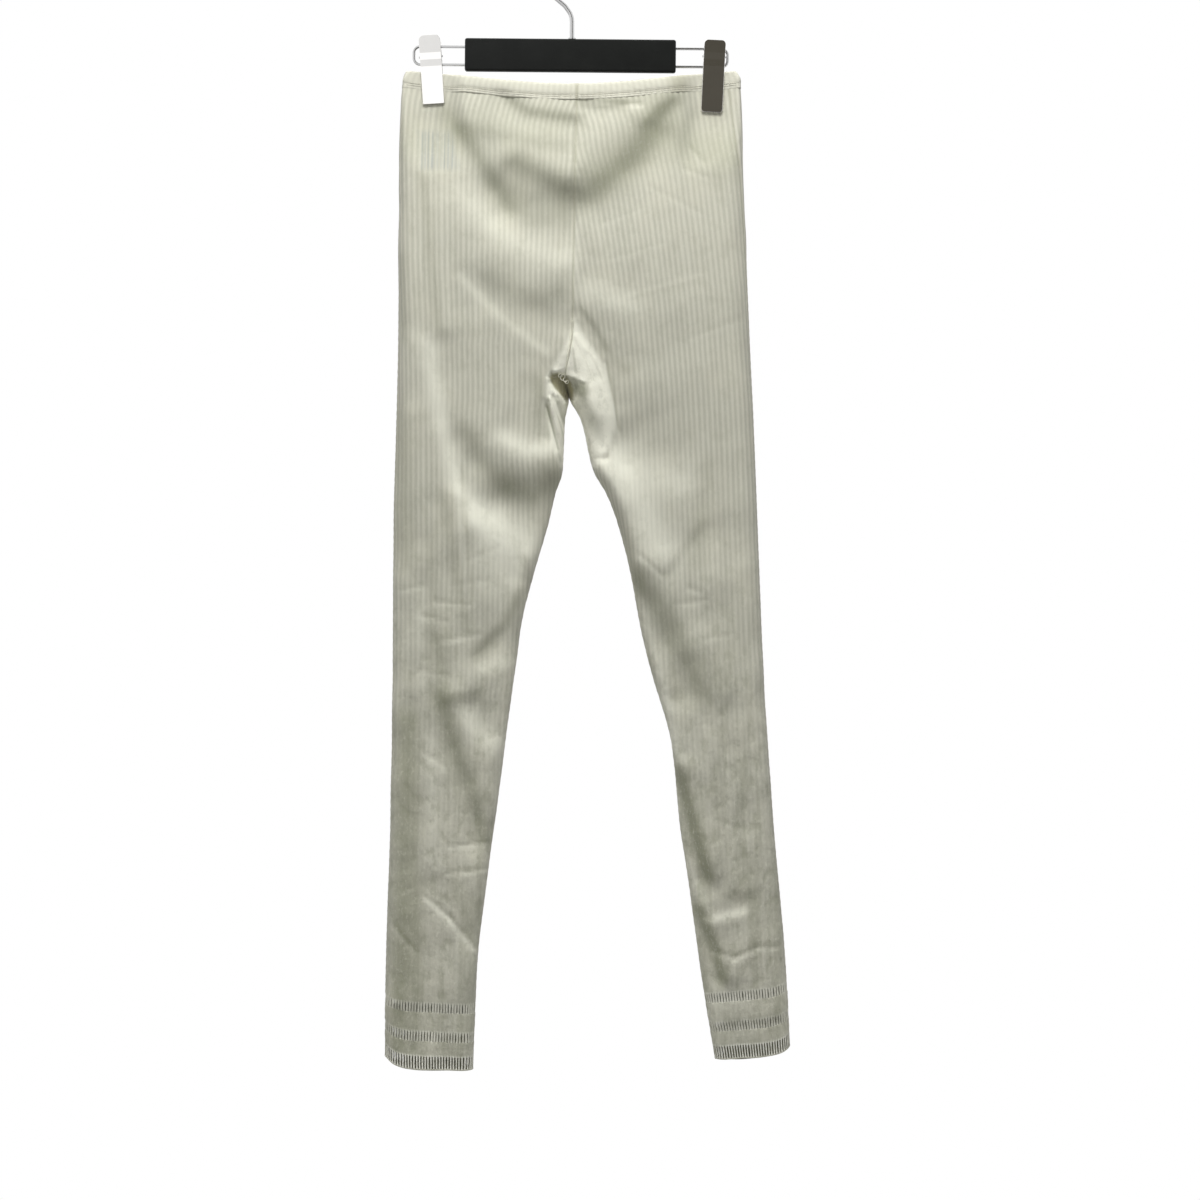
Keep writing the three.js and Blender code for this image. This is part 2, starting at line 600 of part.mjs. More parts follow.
function spring() {
  const geometry = new THREE.CylinderGeometry(SPRING.radius, SPRING.radius, SPRING.length, 12);
  geometry.rotateZ(Math.PI / 2);
  geometry.translate(0, 0, SPRING.z);
  return geometry;
}

function named(name, geometry, material) {
  const mesh = new THREE.Mesh(geometry, material);
  mesh.name = name;
  return mesh;
}

// A clip leans about the point where it sits on the lower wire.
function clipGroup(clip) {
  const group = new THREE.Group();
  group.add(named(`${clip.name}_clip_front_jaw`, jaw(clip, -1), CHROME));
  group.add(named(`${clip.name}_clip_back_jaw`, jaw(clip, 1), CHROME));
  group.add(named(`${clip.name}_clip_spring`, spring(), CHROME));
  const pivot = new THREE.Group();
  group.position.z = -LOOP.lower;
  pivot.add(group);
  pivot.position.set(clip.x, 0, LOOP.lower);
  pivot.rotation.y = THREE.MathUtils.degToRad(-clip.lean);
  return pivot;
}

function hanger() {
  const group = new THREE.Group();
  const leaning = new THREE.Group();
  leaning.add(named('hanger_bar', hangerBar(), BLACK));
  leaning.add(named('wire_loop', wire(loopPoints(), LOOP.wire, LOOP.sides), CHROME));
  leaning.rotation.y = HANGER_LEAN;
  leaning.position.x = -BAR.top * Math.sin(HANGER_LEAN);
  group.add(leaning);
  group.add(named('hook', wire(hookPoints(), HOOK.wire, HOOK.sides), CHROME));
  for (const clip of CLIPS) group.add(clipGroup(clip));
  return group;
}

const leggings = new THREE.Group();
for (const half of [LEFT, RIGHT]) {
  leggings.add(named(`front_${half.name}_leg`, legPanel(half, 'front'), CLOTH));
  leggings.add(named(`back_${half.name}_leg`, legPanel(half, 'back'), CLOTH));
}
leggings.add(named('waistband', waistband(), BAND_CLOTH));
leggings.add(named('care_label', careLabel(), TAG));
leggings.add(hanger());

export default leggings;
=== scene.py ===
# %% [markdown]
# Ribbed leggings on a clip hanger.
# The real object is a pair of cream leggings in a thin ribbed knit, hung flat by the waistband
# from a wire hanger with a black plastic bar and two bright clips. The packed model gives the
# frame: each piece here stands for one of its solids and lies where that solid lies.

# %% Load the frame
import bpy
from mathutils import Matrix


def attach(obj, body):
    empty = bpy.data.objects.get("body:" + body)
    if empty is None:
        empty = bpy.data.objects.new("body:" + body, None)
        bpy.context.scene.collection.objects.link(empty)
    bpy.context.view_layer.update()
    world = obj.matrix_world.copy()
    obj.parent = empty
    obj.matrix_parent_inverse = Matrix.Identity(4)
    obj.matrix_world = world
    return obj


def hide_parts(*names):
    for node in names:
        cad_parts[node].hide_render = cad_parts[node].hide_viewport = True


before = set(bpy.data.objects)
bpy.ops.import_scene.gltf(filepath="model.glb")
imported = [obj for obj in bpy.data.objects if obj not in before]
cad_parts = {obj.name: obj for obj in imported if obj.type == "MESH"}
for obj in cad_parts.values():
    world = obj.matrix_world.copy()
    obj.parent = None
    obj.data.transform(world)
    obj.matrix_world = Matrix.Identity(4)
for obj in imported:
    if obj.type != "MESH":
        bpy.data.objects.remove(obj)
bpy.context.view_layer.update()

import math

import bpy
import numpy as np
from mathutils import Vector

MM = 0.001
print("solids:", sorted(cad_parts))

# %% [markdown]
# The picture first.
# A long lens from 2.2 m away, level with the middle of the legs, gives the flat view of the
# photograph. One pixel of a picture 1200 wide is 0.95 mm at the cloth.

# %% Camera
PIXEL = 0.95
MIDDLE_PIXEL = 572
TOP_EDGE = -37.7
PICTURE = 1200
CAMERA_AWAY = 2.2
SENSOR = 36


def from_photo(px, py):
    """Place in millimetres, across and up, of a pixel of the photograph."""
    return (px - MIDDLE_PIXEL) * PIXEL, TOP_EDGE - PIXEL * py


camera_data = bpy.data.cameras.new("camera")
camera_data.sensor_width = SENSOR
camera_data.lens = SENSOR * CAMERA_AWAY / (PICTURE * PIXEL * MM)
camera = bpy.data.objects.new("camera", camera_data)
bpy.context.scene.collection.objects.link(camera)
centre_x, centre_z = from_photo(PICTURE / 2, PICTURE / 2)
camera.location = (centre_x * MM, -CAMERA_AWAY, centre_z * MM)
camera.rotation_euler = (math.pi / 2, 0, 0)
bpy.context.scene.camera = camera
print("lens", round(camera_data.lens, 2), "mm")

# %% [markdown]
# Materials are written as sums.
# A shader is a net of small maths nodes, and drawing it by hand hides what it says. The first
# class below wraps a socket, so that Python's own + - * / make the nodes. The second makes any
# other node of a net, and the third is a material, with the nodes that the finishes share.


# %% A socket that can be added and multiplied
class Value:
    """One output of a node. Sums with it make Math nodes."""

    def __init__(self, net, socket):
        self.net, self.socket = net, socket

    def maths(self, operation, *others):
        return self.net.node("ShaderNodeMath", [self, *others], operation=operation)

    def __add__(self, other):
        return self.maths("ADD", other)

    def __sub__(self, other):
        return self.maths("SUBTRACT", other)

    def __rsub__(self, other):
        return self.net.node("ShaderNodeMath", [other, self], operation="SUBTRACT")

    def __mul__(self, other):
        return self.maths("MULTIPLY", other)

    def __truediv__(self, other):
        return self.maths("DIVIDE", other)

    __radd__ = __add__
    __rmul__ = __mul__

    def wave(self):
        """0 at whole numbers and 1 half way between them, rounded like a cosine."""
        return 0.5 - 0.5 * (self * (2 * math.pi)).maths("COSINE")

    def between(self, low, high):
        """0 below low and 1 above high, with soft ends."""
        return self.net.node(
            "ShaderNodeMapRange", {"Value": self, "From Min": low, "From Max": high},
            interpolation_type="SMOOTHSTEP",
        )

    def limited(self, most):
        """The value itself, but never below 0 or above most."""
        return self.maths("MINIMUM", most).maths("MAXIMUM", 0)


print("a socket understands:", [name for name in vars(Value) if callable(getattr(Value, name))])


# %% Nets of nodes, and the finish
class Net:
    """The nodes of a material or of the world."""

    def __init__(self, tree):
        self.tree = tree

    def node(self, kind, values=(), out=0, **settings):
        """Any node: its settings first, then the values or links of its sockets."""
        node = self.tree.nodes.new(kind)
        for key, value in settings.items():
            setattr(node, key, value)
        pairs = values.items() if isinstance(values, dict) else enumerate(values)
        for key, value in pairs:
            self.link(node.inputs[key], value)
        return Value(self, node.outputs[out])

    def link(self, socket, value):
        if isinstance(value, Value):
            self.tree.links.new(value.socket, socket)
        elif isinstance(value, tuple) and len(value) == 3 and socket.type == "RGBA":
            socket.default_value = (*value, 1)
        else:
            socket.default_value = value

    def split(self, vector):
        """The three parts of a vector."""
        parts = self.node("ShaderNodeSeparateXYZ", {0: vector}).socket.node
        return [Value(self, socket) for socket in parts.outputs]


class Finish(Net):
    """A material with one Principled shader."""

    def __init__(self, name, **constants):
        self.material = bpy.data.materials.new(name)
        self.material.use_nodes = True
        super().__init__(self.material.node_tree)
        self.shader = self.tree.nodes["Principled BSDF"]
        self.set(**constants)

    def set(self, **values):
        for key, value in values.items():
            name = key.replace("_", " ").title().replace("Ior", "IOR")
            self.link(self.shader.inputs[name], value)

    def mix(self, factor, a, b):
        """Colour a where factor is 0 and colour b where it is 1."""
        return self.node("ShaderNodeMix", {0: factor, 6: a, 7: b}, out=2, data_type="RGBA")

    def layered(self, colour, *layers):
        """A colour with others laid over it in turn, each given as an amount and a colour."""
        for amount, over in layers:
            colour = self.mix(amount, colour, over)
        return colour

    def place(self):
        """Object coordinates, in metres."""
        return self.node("ShaderNodeTexCoord", out=3)

    def stretched(self, scale):
        return self.node("ShaderNodeMapping", {"Vector": self.place(), "Scale": scale})

    def knit_map(self):
        """Ribs counted across and centimetres down, from the piece's own map."""
        return self.split(self.node("ShaderNodeUVMap", uv_map="knit"))[:2]

    def mark(self, name):
        """A number that the mesh carries at each of its points."""
        return self.node("ShaderNodeAttribute", out=2, attribute_name=name)

    def noise(self, vector, scale, detail=3, roughness=0.5):
        return self.node("ShaderNodeTexNoise", {
            "Vector": vector, "Scale": scale, "Detail": detail, "Roughness": roughness,
        })

    def bump(self, height, distance, strength=1.0):
        return self.node("ShaderNodeBump", {"Height": height, "Distance": distance, "Strength": strength})


print("a finish offers:", [name for name in vars(Finish) if not name.startswith("_")])

# %% [markdown]
# The cloth's colour.
# The knit is one cream yarn. What reads as stripes is the rib: light on its ridge, and in the
# groove painted a little greener and darker as shade. Each leg's mesh carries a map that counts
# ribs across and centimetres down, so the stripes, the knit loops and the small differences
# between ribs follow the cloth round every fold. Other colours are laid over the stripes by
# marks that the mesh carries at its points: painted shade and light of the folds, painted shade
# in the hollow under the crotch and inside near the hem, painted light on the smooth crotch
# piece, seams, bare yarn, the inside, and the tag behind the left hip, which shows through as a
# cool patch. Below that, painted shade falls in streaks and crumples low on the legs and in a
# band along the hem, with small specks of painted light.

# %% Colours of the cloth
RIDGE = (0.71, 0.70, 0.59)
# A groove is painted darker and greener than a ridge, as shade.
RIB_GROOVE_SHADE = (0.565, 0.56, 0.465)
# The smooth crotch piece: its own paler tone, and painted light as well.
SMOOTH_AND_LIT = (0.97, 0.96, 0.82)
INSIDE = (0.62, 0.60, 0.46)
# Painted shade in the hollow under the crotch.
HOLLOW_SHADE = (0.33, 0.305, 0.17)
YARN = (0.95, 0.945, 0.85)
SEAM = (0.42, 0.41, 0.31)
SHADED = (0.325, 0.33, 0.235)
LIT = (0.90, 0.895, 0.765)
COOL = (0.30, 0.33, 0.35)
DEEP = (0.12, 0.113, 0.07)
STITCH_SHADE, WARM = (0.40, 0.39, 0.30), (0.74, 0.71, 0.56)
# The band's groove colour is painted shade too.
BAND_GROOVE_SHADE, BAND_RIDGE, BAND_STITCH_SHADE = (0.61, 0.60, 0.50), (0.69, 0.68, 0.575), (0.48, 0.47, 0.38)
THREAD_DARK, THREAD_PALE = (0.62, 0.60, 0.48), (0.86, 0.84, 0.72)
LOOPS_ACROSS, LOOP_TALL = 4, 0.1
# Where the low leg starts and ends, and the band along the hem that is painted in shade.
LOW_LEG, HEM_SHADE = (46, 90), (97, 101)
SOFT = dict(sheen_weight=0.25, sheen_roughness=0.5, specular_ior_level=0.25)
FUZZ = dict(scale=900, detail=2, roughness=0.6)
KNIT_RELIEF = 0.00022
print("a groove is", round(RIB_GROOVE_SHADE[1] / RIDGE[1], 2), "as bright as a ridge")


# %% Ribbed cloth
def knit_height(across, down):
    """Rows of small V shapes, as a knit shows: across counts wales and down counts rows."""
    lean = (across.maths("FRACT") - 0.5).maths("ABSOLUTE")
    rows = (down + lean * 1.2).wave()
    columns = across.wave()
    return rows * 0.6 + columns * 0.4


def rib_stripes(finish, across, down, low, blotch):
    """0 in a groove, which is painted in shade, and 1 on a ridge. Each rib differs a little, and all fade
    down the leg.
    """
    number = finish.node("ShaderNodeCombineXYZ", {0: across.maths("FLOOR") * 7.3, 1: down * 0.02})
    each_rib = finish.noise(number, 1.0, 1)
    streak = finish.noise(finish.stretched((230, 0, 8)), 1.0, 3, 0.6)
    clear = 0.8 - 0.62 * low
    stripe = 0.5 + (across.wave() - 0.5) * clear + (each_rib - 0.5) * 0.5 + (streak - 0.5) * 0.7
    return (stripe + (blotch - 0.5) * 0.4).between(0.0, 1.0)


def ribbed_cloth():
    """Stripes first, then what lies over them, then small specks of painted light and painted shade of
    crumpling low on the leg.
    """
    finish = Finish("ribbed_cloth", **SOFT)
    across, down = finish.knit_map()
    low = down.between(*LOW_LEG)
    loops = knit_height(across * LOOPS_ACROSS, down / LOOP_TALL)
    fine = finish.noise(finish.place(), **FUZZ)
    blotch = finish.noise(finish.stretched((1, 1, 0.6)), 26, 3, 0.55)
    strokes = finish.noise(finish.stretched((330, 0, 5)), 1.0, 1).between(0.4, 0.65)
    pillars = finish.noise(finish.stretched((70, 0, 5)), 1.0, 3, 0.6).between(0.48, 0.62)
    crumple = finish.noise(finish.stretched((95, 95, 70)), 1.0, 4, 0.62)
    speckle = finish.noise(finish.stretched((420, 420, 240)), 1.0, 2, 0.7)
    gusset, turned = finish.mark("gusset"), finish.mark("turned")
    colour = finish.layered(
        finish.mix(rib_stripes(finish, across, down, low, blotch), RIB_GROOVE_SHADE, RIDGE),
        (loops * 0.10 + fine * 0.14, STITCH_SHADE),
        (blotch.between(0.35, 0.8) * 0.22, WARM),
        (finish.mark("tag_behind") * (0.10 + strokes * 0.5), COOL),
        # The smooth crotch piece, paler in itself and painted lighter as light.
        (gusset * 0.9, SMOOTH_AND_LIT),
        # Painted shade and light of the turns, creases and shades.
        ((turned * 0.3).limited(0.85), SHADED),
        ((turned * -0.45).limited(0.8), LIT),
        # Painted shade in streaks low on the leg and in a band along the hem.
        (pillars * 0.3 * low + down.between(*HEM_SHADE) * 0.12, SHADED),
        (finish.mark("seam") * 0.55, SEAM),
        (finish.mark("yarn"), YARN),
        (finish.mark("inside") * 0.7, INSIDE),
        # Painted shade in the hollow under the crotch, then painted shadow inside near the hem.
        (finish.mark("hollow") * 0.9, HOLLOW_SHADE),
        (finish.mark("shadow"), DEEP),
        # Specks of painted light, and patches of painted shade where the cloth crumples.
        (speckle.between(0.5, 0.75) * (0.10 + 0.14 * low + 0.1 * gusset), LIT),
        (crumple.between(0.52, 0.32) * (0.12 + 0.30 * low + 0.14 * gusset), SHADED),
    )
    height = loops * 0.7 + fine * 0.5 + crumple * (3 + 12 * low + 7 * gusset)
    finish.set(
        base_color=colour, roughness=0.78 + 0.14 * fine, normal=finish.bump(height, KNIT_RELIEF, 0.6),
    )
    return finish.material


CLOTH = ribbed_cloth()
print(CLOTH.name, "has", len(CLOTH.node_tree.nodes), "nodes")


# %% Band cloth and thread
def band_cloth():
    finish = Finish("band_cloth", **SOFT)
    across, down = finish.knit_map()
    fine = finish.noise(finish.place(), **FUZZ)
    blotch = finish.noise(finish.place(), 40, 3, 0.55)
    loops = knit_height(across * LOOPS_ACROSS, down / LOOP_TALL)
    stripe = (across.wave() * 0.55 + blotch * 0.5).between(0.0, 1.0)
    colour = finish.layered(
        finish.mix(stripe, BAND_GROOVE_SHADE, BAND_RIDGE),
        (loops * 0.10 + fine * 0.10, BAND_STITCH_SHADE),
        # The band's seam mark carries its joint and a painted shadow left of the right clip.
        (finish.mark("seam") * 0.6, SEAM),
    )
    height = loops * 0.7 + fine * 0.5
    finish.set(
        base_color=colour, roughness=0.76 + 0.14 * fine, normal=finish.bump(height, KNIT_RELIEF, 0.6),
    )
    return finish.material


def sewing_thread():
    """Two plies twisted round each other."""
    finish = Finish("sewing_thread", sheen_weight=0.3, specular_ior_level=0.35)
    across, down = finish.knit_map()
    plies = (across * 2 + down * 9).wave()
    colour = finish.mix(plies, THREAD_DARK, THREAD_PALE)
    finish.set(base_color=colour, roughness=0.5 + 0.2 * plies, normal=finish.bump(plies, 0.00015))
    return finish.material


BAND, THREAD = band_cloth(), sewing_thread()
print("cloth finishes:", CLOTH.name, BAND.name, THREAD.name)

# %% [markdown]
# The form of the cloth.
# A pattern cutter thinks of leggings as outlines at each height, and so does this script. Short
# tables give the outer fold, the middle, the depth of the hollow and the place of the side
# seam. They are the same ones that the solids were made from, so cloth and solids agree.


# %% Tables read by height
class Table:
    """Rows of named columns that run down in z, read at any height between them."""

    def __init__(self, names, *rows):
        self.columns = dict(zip(names.split(), np.array(rows, float).T))
        self.z = self.columns["z"]

    def straight(self, column, z):
        return np.interp(-z, -self.z, self.columns[column])

    def smooth(self, column, z):
        heights, values = self.z, self.columns[column]
        if z >= heights[0] or z <= heights[-1]:
            return float(values[0] if z >= heights[0] else values[-1])
        slopes = np.diff(values) / np.diff(heights)

        def tangent(k):
            if k in (0, len(slopes)):
                return slopes[0 if k == 0 else -1]
            before, after = slopes[k - 1], slopes[k]
            return 0 if before * after <= 0 else 2 * before * after / (before + after)

        i = int(np.searchsorted(-heights, -z)) - 1
        span = heights[i + 1] - heights[i]
        t = (z - heights[i]) / span
        return float(
            (1 + 2 * t) * (1 - t) ** 2 * values[i] + t * (1 - t) ** 2 * span * tangent(i)
            + t * t * (3 - 2 * t) * values[i + 1] + t * t * (t - 1) * span * tangent(i + 1)
        )


OUTLINE = Table(
    "z left right",
    (-104, -157.0, 155.2), (-114, -160.0, 159.6), (-140, -162.6, 160.8), (-228, -164.3, 163.4),
    (-361, -164.6, 168.2), (-437, -166.3, 172.0), (-532, -169.0, 175.6), (-675, -170.0, 181.5),
    (-817, -172.2, 191.0), (-960, -176.7, 203.3), (-1060, -178.0, 208.5),
)
MIDDLE = Table(
    "z left right",
    (-104, 4.9, 4.9), (-200, 2.9, 2.9), (-313, 1.0, 1.0), (-350, 0.6, 0.6), (-385, -4.5, -4.5),
    (-398, -6.5, -6.5), (-407, -4.9, -4.9), (-415, -3.05, -3.05), (-437, -6.7, 8.6),
    (-484, -8.8, 20.0), (-508, -16.2, 33.3), (-532, -21.6, 42.4), (-579, -35.2, 55.0),
    (-627, -47.5, 63.7), (-675, -54.2, 75.0), (-745, -63.7, 94.6), (-817, -73.0, 102.0),
    (-888, -82.7, 112.4), (-960, -90.3, 122.2), (-1060, -94.2, 138.6),
)
DEPTH = Table(
    "z half outer_round inner_round",
    (-104, 6.5, 4.5, 20), (-125, 9.0, 6.0, 22), (-165, 14.0, 10.0, 26), (-220, 18.5, 15.0, 30),
    (-300, 20.5, 17.0, 30), (-380, 19.0, 16.0, 24), (-415, 18.0, 15.5, 17), (-470, 16.5, 14.5, 14),
    (-560, 15.0, 13.0, 13), (-700, 13.5, 12.0, 12), (-850, 12.0, 11.0, 11), (-1060, 10.5, 10.0, 10),
)
TURN_UNDER = Table(
    "z front back",
    (-320, 1.0, 1.0), (-372, 0.97, 0.92), (-390, 0.8, 0.76), (-398, 0.5, 0.64), (-407, 0.12, 0.48),
    (-415, -0.2, 0.2), (-450, -0.05, 0.05), (-500, 0.0, 0.0),
)
SIDE_SEAM = Table(
    "z offset",
    (-104, 14.5), (-155, 13.5), (-218, 10.0), (-294, 6.0), (-342, 3.5), (-430, 1.0), (-520, 0.0),
    (-1060, 0.0),
)
RIBS = Table("z pitch", (-104, 5.5), (-250, 5.15), (-400, 4.92), (-1060, 4.85))
TILT = Table(
    "z left right",
    (-440, 0.0, 0.0), (-700, 0.05, 0.08), (-950, 0.04, 0.09), (-1060, 0.01, 0.055),
)
LEFT = dict(name="left", side=-1, seam_turn=1, hem=-1053.2, lift=11.5, clip_x=-133.1, clip_lean=0.063,
            bar_slide=1.1)
RIGHT = dict(name="right", side=1, seam_turn=-1, hem=-1043, lift=7.5, clip_x=134.4, clip_lean=-0.048,
             bar_slide=0.0)
BAND_TOP, BAND_BOTTOM = -105.6, -120.9
WALL, LEAST_DEPTH = 1.3, 1.9
print("waist to hem:", round((BAND_TOP - LEFT["hem"]) * MM, 3), "m")

# %% [markdown]
# Folds, creases, turns and shades.
# What matters to the picture is placed one by one. A fold is a line, how wide it is and how far it
# stands out or sinks in, and the broad ones are those of the solids. A crease is finer, read off
# the photograph on the side that it shows, with a painted light flank and a painted dark flank.
# At a turn the cloth stands out above a bent line and sinks below it, so it faces down, and it
# is also painted darker there, or lighter where the amount is negative. A shade has no relief:
# it is painted shade or light where light falls off the cloth. The back has folds, creases and
# turns of its own, made up in the same manner.
# A cloth simulation would hang the cloth, but not with these folds.

# %% Folds
# Two places, across and up, then width and depth, all in millimetres.
FRONT_FOLDS = [
    (-118, -147, -56, -222, 21, -7), (-52, -226, 2, -234, 20, -5), (110, -134, 46, -194, 19, -6),
    (44, -198, 6, -226, 18, -4), (-84, -252, -14, -290, 19, 4), (-36, -336, -8, -352, 16, -4),
    (10, -318, 44, -330, 17, 3), (8, -358, 64, -386, 13, -4), (-124, -437, -94, -476, 15, -5),
    (-92, -478, -30, -500, 15, -6), (-66, -446, -30, -462, 18, 4), (-49, -598, -92, -650, 15, -4),
    (52, -500, 76, -560, 19, 4), (34, -505, 66, -610, 13, -4), (68, -614, 112, -694, 14, -5),
    (-125, -722, -88, -779, 14, -3), (112, -780, 128, -800, 16, -3),
]
BACK_FOLDS = [
    (-108, -150, -40, -205, 21, -6), (106, -150, 44, -210, 20, -6), (-30, -236, 34, -240, 22, -4),
    (-95, -300, -60, -330, 34, 5), (62, -296, 98, -322, 34, 5), (-84, -392, -24, -372, 15, -4),
    (20, -374, 88, -398, 15, -4), (-120, -640, -78, -622, 14, -4), (92, -612, 146, -640, 14, -4),
    (-140, -860, -104, -840, 15, -3), (138, -850, 170, -874, 15, -3),
]
print("folds:", len(FRONT_FOLDS), "in front,", len(BACK_FOLDS), "behind")

# %% Creases
# Front: two pixels of the photograph, then width and depth in millimetres.
FRONT_CREASES = [
    (580, 103, 640, 107, 3, -0.8), (549, 381, 556, 374, 2.2, 1.0), (556, 374, 567, 376, 2.2, 1.0),
    (567, 376, 584, 383, 2.2, 0.8), (552, 384, 558, 399, 1.6, -1.2), (545, 404, 547, 440, 3.5, -1.0),
    (550, 400, 561, 440, 1.8, 1.5), (554, 398, 566, 434, 1.8, -1.5), (547, 408, 557, 450, 1.8, -1.6),
    (606, 366, 618, 432, 2.2, -0.7), (574, 336, 586, 352, 2.4, 0.8), (571, 345, 574, 372, 2.2, -0.4),
    (436, 602, 470, 605, 2.5, -0.35), (444, 640, 480, 634, 3, -0.35), (450, 845, 488, 842, 2.6, -0.6),
    (448, 872, 486, 868, 2.6, -0.5), (426, 896, 450, 916, 3, -0.7), (450, 916, 476, 948, 3, -0.7),
    (395, 925, 415, 950, 3, -0.5), (593, 461, 606, 459, 3, -1.4), (688, 588, 700, 592, 3, -0.3),
    (640, 556, 662, 576, 3, -0.4), (714, 950, 734, 956, 3, -0.8), (734, 956, 756, 946, 3, -0.8),
    (756, 946, 774, 946, 3, -0.5), (676, 604, 706, 600, 3, -0.25), (460, 470, 470, 600, 4, -0.25),
    (424, 752, 446, 766, 3, -0.3), (420, 670, 450, 676, 3, -0.25), (402, 590, 424, 586, 3, -0.25),
    (604, 226, 640, 212, 2.5, -0.12), (610, 262, 662, 246, 2.5, -0.12), (650, 190, 700, 216, 3, -0.12),
    (628, 300, 700, 280, 3, 0.12), (690, 340, 738, 322, 3, -0.12), (690, 150, 702, 164, 3, -0.25),
    (684, 172, 706, 180, 3, -0.2), (576, 345, 590, 376, 2, -0.25), (583, 346, 600, 380, 2, -0.2),
    (424, 616, 448, 622, 3, -0.25), (452, 586, 490, 580, 3, -0.15), (414, 560, 440, 566, 3, -0.15),
    (470, 560, 500, 548, 3, -0.15), (700, 640, 730, 634, 3, -0.2), (716, 820, 744, 828, 3, -0.25),
]

# Back: in millimetres like the folds.
BACK_CREASES = [
    (-30, -128, -2, -140, 5, -1.2), (14, -126, 60, -134, 4, -1.0), (-100, -262, -30, -300, 6, 1.2),
    (24, -300, 92, -268, 6, 1.1), (-60, -352, -12, -372, 4, -1.3), (16, -366, 70, -350, 4, -1.2),
    (-18, -380, -40, -410, 3, -0.8), (-12, -396, -26, -436, 3, -0.8), (14, -420, 40, -470, 3.5, -1.0),
    (-104, -430, -52, -448, 5, -1.3), (48, -440, 104, -430, 5, -1.3), (-98, -610, -60, -602, 3, -0.9),
    (-112, -628, -64, -646, 3.5, -1.1), (74, -598, 118, -604, 3, -0.9),
    (86, -628, 140, -616, 3.5, -1.1), (-130, -700, -96, -752, 5, -1.0), (104, -708, 142, -760, 5, -1.0),
    (-132, -832, -94, -838, 3, -0.8), (-144, -888, -104, -930, 4, -0.9),
    (140, -842, 176, -836, 3, -0.8), (132, -900, 168, -944, 4, -0.9), (-150, -960, -120, -966, 3, -0.7),
    (146, -958, 184, -952, 3, -0.8),
]
print("creases:", len(FRONT_CREASES), "in front,", len(BACK_CREASES), "behind")

# %% Turns and shades
# Front: width in millimetres, amount, then pixels of the photograph from left to right. A
# negative amount turns the cloth up to the light and paints it lighter.
FRONT_TURNS = [
    (9, 1.25, (446, 112), (467, 140), (488, 174), (510, 206)),
    (11, 0.5, (504, 210), (532, 222), (562, 222)), (12, 1.5, (518, 166), (544, 180), (562, 190)),
    (15, 0.9, (500, 184), (530, 201), (560, 206)),
    (14, 1.3, (590, 198), (610, 182), (636, 156), (650, 136)),
    (7, 1.3, (650, 124), (660, 112), (672, 103)), (5, 0.7, (424, 180), (440, 330)),
    (5, 0.9, (401, 260), (404, 340)), (8, 0.5, (460, 130), (560, 150)),
    (6, 1.2, (503, 94), (528, 114), (575, 121)), (3.5, 1.5, (580, 105), (600, 108), (624, 107)),
    (13, -0.45, (466, 200), (500, 238), (540, 258), (562, 260)), (5, -0.4, (573, 280), (576, 215)),
    (12, -0.55, (582, 292), (600, 298), (626, 306)),
    (13, 0.65, (494, 282), (520, 300), (546, 304), (562, 294)),
    (5, -0.5, (462, 280), (500, 318), (545, 352)), (3, 1.0, (582, 312), (596, 330), (606, 350)),
    (6, 0.5, (600, 350), (626, 372)), (9, -0.9, (578, 340), (590, 372), (606, 410)),
    (9, -1.3, (430, 350), (441, 420), (456, 482), (480, 518)),
    (17, -0.9, (488, 518), (508, 536), (530, 546)), (10, 1.0, (402, 420), (408, 560)),
    (6, -0.5, (421, 590), (424, 690)), (7, 0.8, (446, 500), (456, 560), (468, 630)),
    (6, 0.6, (434, 540), (440, 690)), (10, 0.8, (470, 438), (486, 464), (506, 486)),
    (15, 1.6, (512, 488), (532, 494), (552, 480)), (10, -1.1, (506, 440), (530, 452), (552, 448)),
    (7, 0.6, (538, 384), (545, 436)), (6, 0.9, (582, 396), (596, 424), (605, 456)),
    (6, 1.2, (597, 474), (614, 512), (640, 588)),
    (12, 1.5, (640, 582), (666, 622), (690, 662), (698, 690)),
    (18, -1.3, (606, 458), (640, 508), (660, 548)), (20, -0.7, (622, 464), (680, 484)),
    (9, 0.6, (696, 560), (706, 470)), (5, 0.5, (664, 576), (702, 524)),
    (4, -0.7, (642, 602), (656, 660), (670, 706)), (6, 1.2, (478, 652), (504, 626), (521, 592)),
    (6, -0.6, (484, 668), (512, 660)), (7, 0.9, (452, 700), (474, 696)),
    (11, -1.0, (464, 712), (482, 736), (500, 743)),
    (9, 1.8, (442, 700), (456, 744), (468, 774), (486, 838)), (7, 0.9, (456, 880), (472, 932)),
    (12, 1.2, (398, 1045), (404, 900), (406, 720)), (7, 0.8, (416, 1050), (422, 880)),
    (7, 0.7, (440, 640), (446, 700)), (7, -0.6, (430, 740), (436, 860)),
    (5, 0.8, (736, 880), (742, 760)), (6, 0.6, (718, 860), (716, 770)),
    (6, 0.6, (470, 1040), (476, 960)), (4, 0.9, (526, 560), (530, 580)),
    (6, -1.2, (662, 700), (680, 764)), (6.5, 3.2, (678, 768), (692, 820), (708, 874)),
    (4, -1.0, (688, 862), (706, 906)), (7, 1.0, (730, 894), (750, 892)),
    (4, -1.5, (708, 918), (742, 910)), (6, 3.0, (698, 908), (713, 940), (722, 976)),
    (4, 0.5, (716, 1025), (776, 1016)), (6, -0.4, (716, 1002), (744, 996)),
    (6, -0.5, (430, 896), (470, 944)), (6, 0.4, (400, 904), (430, 950)),
]

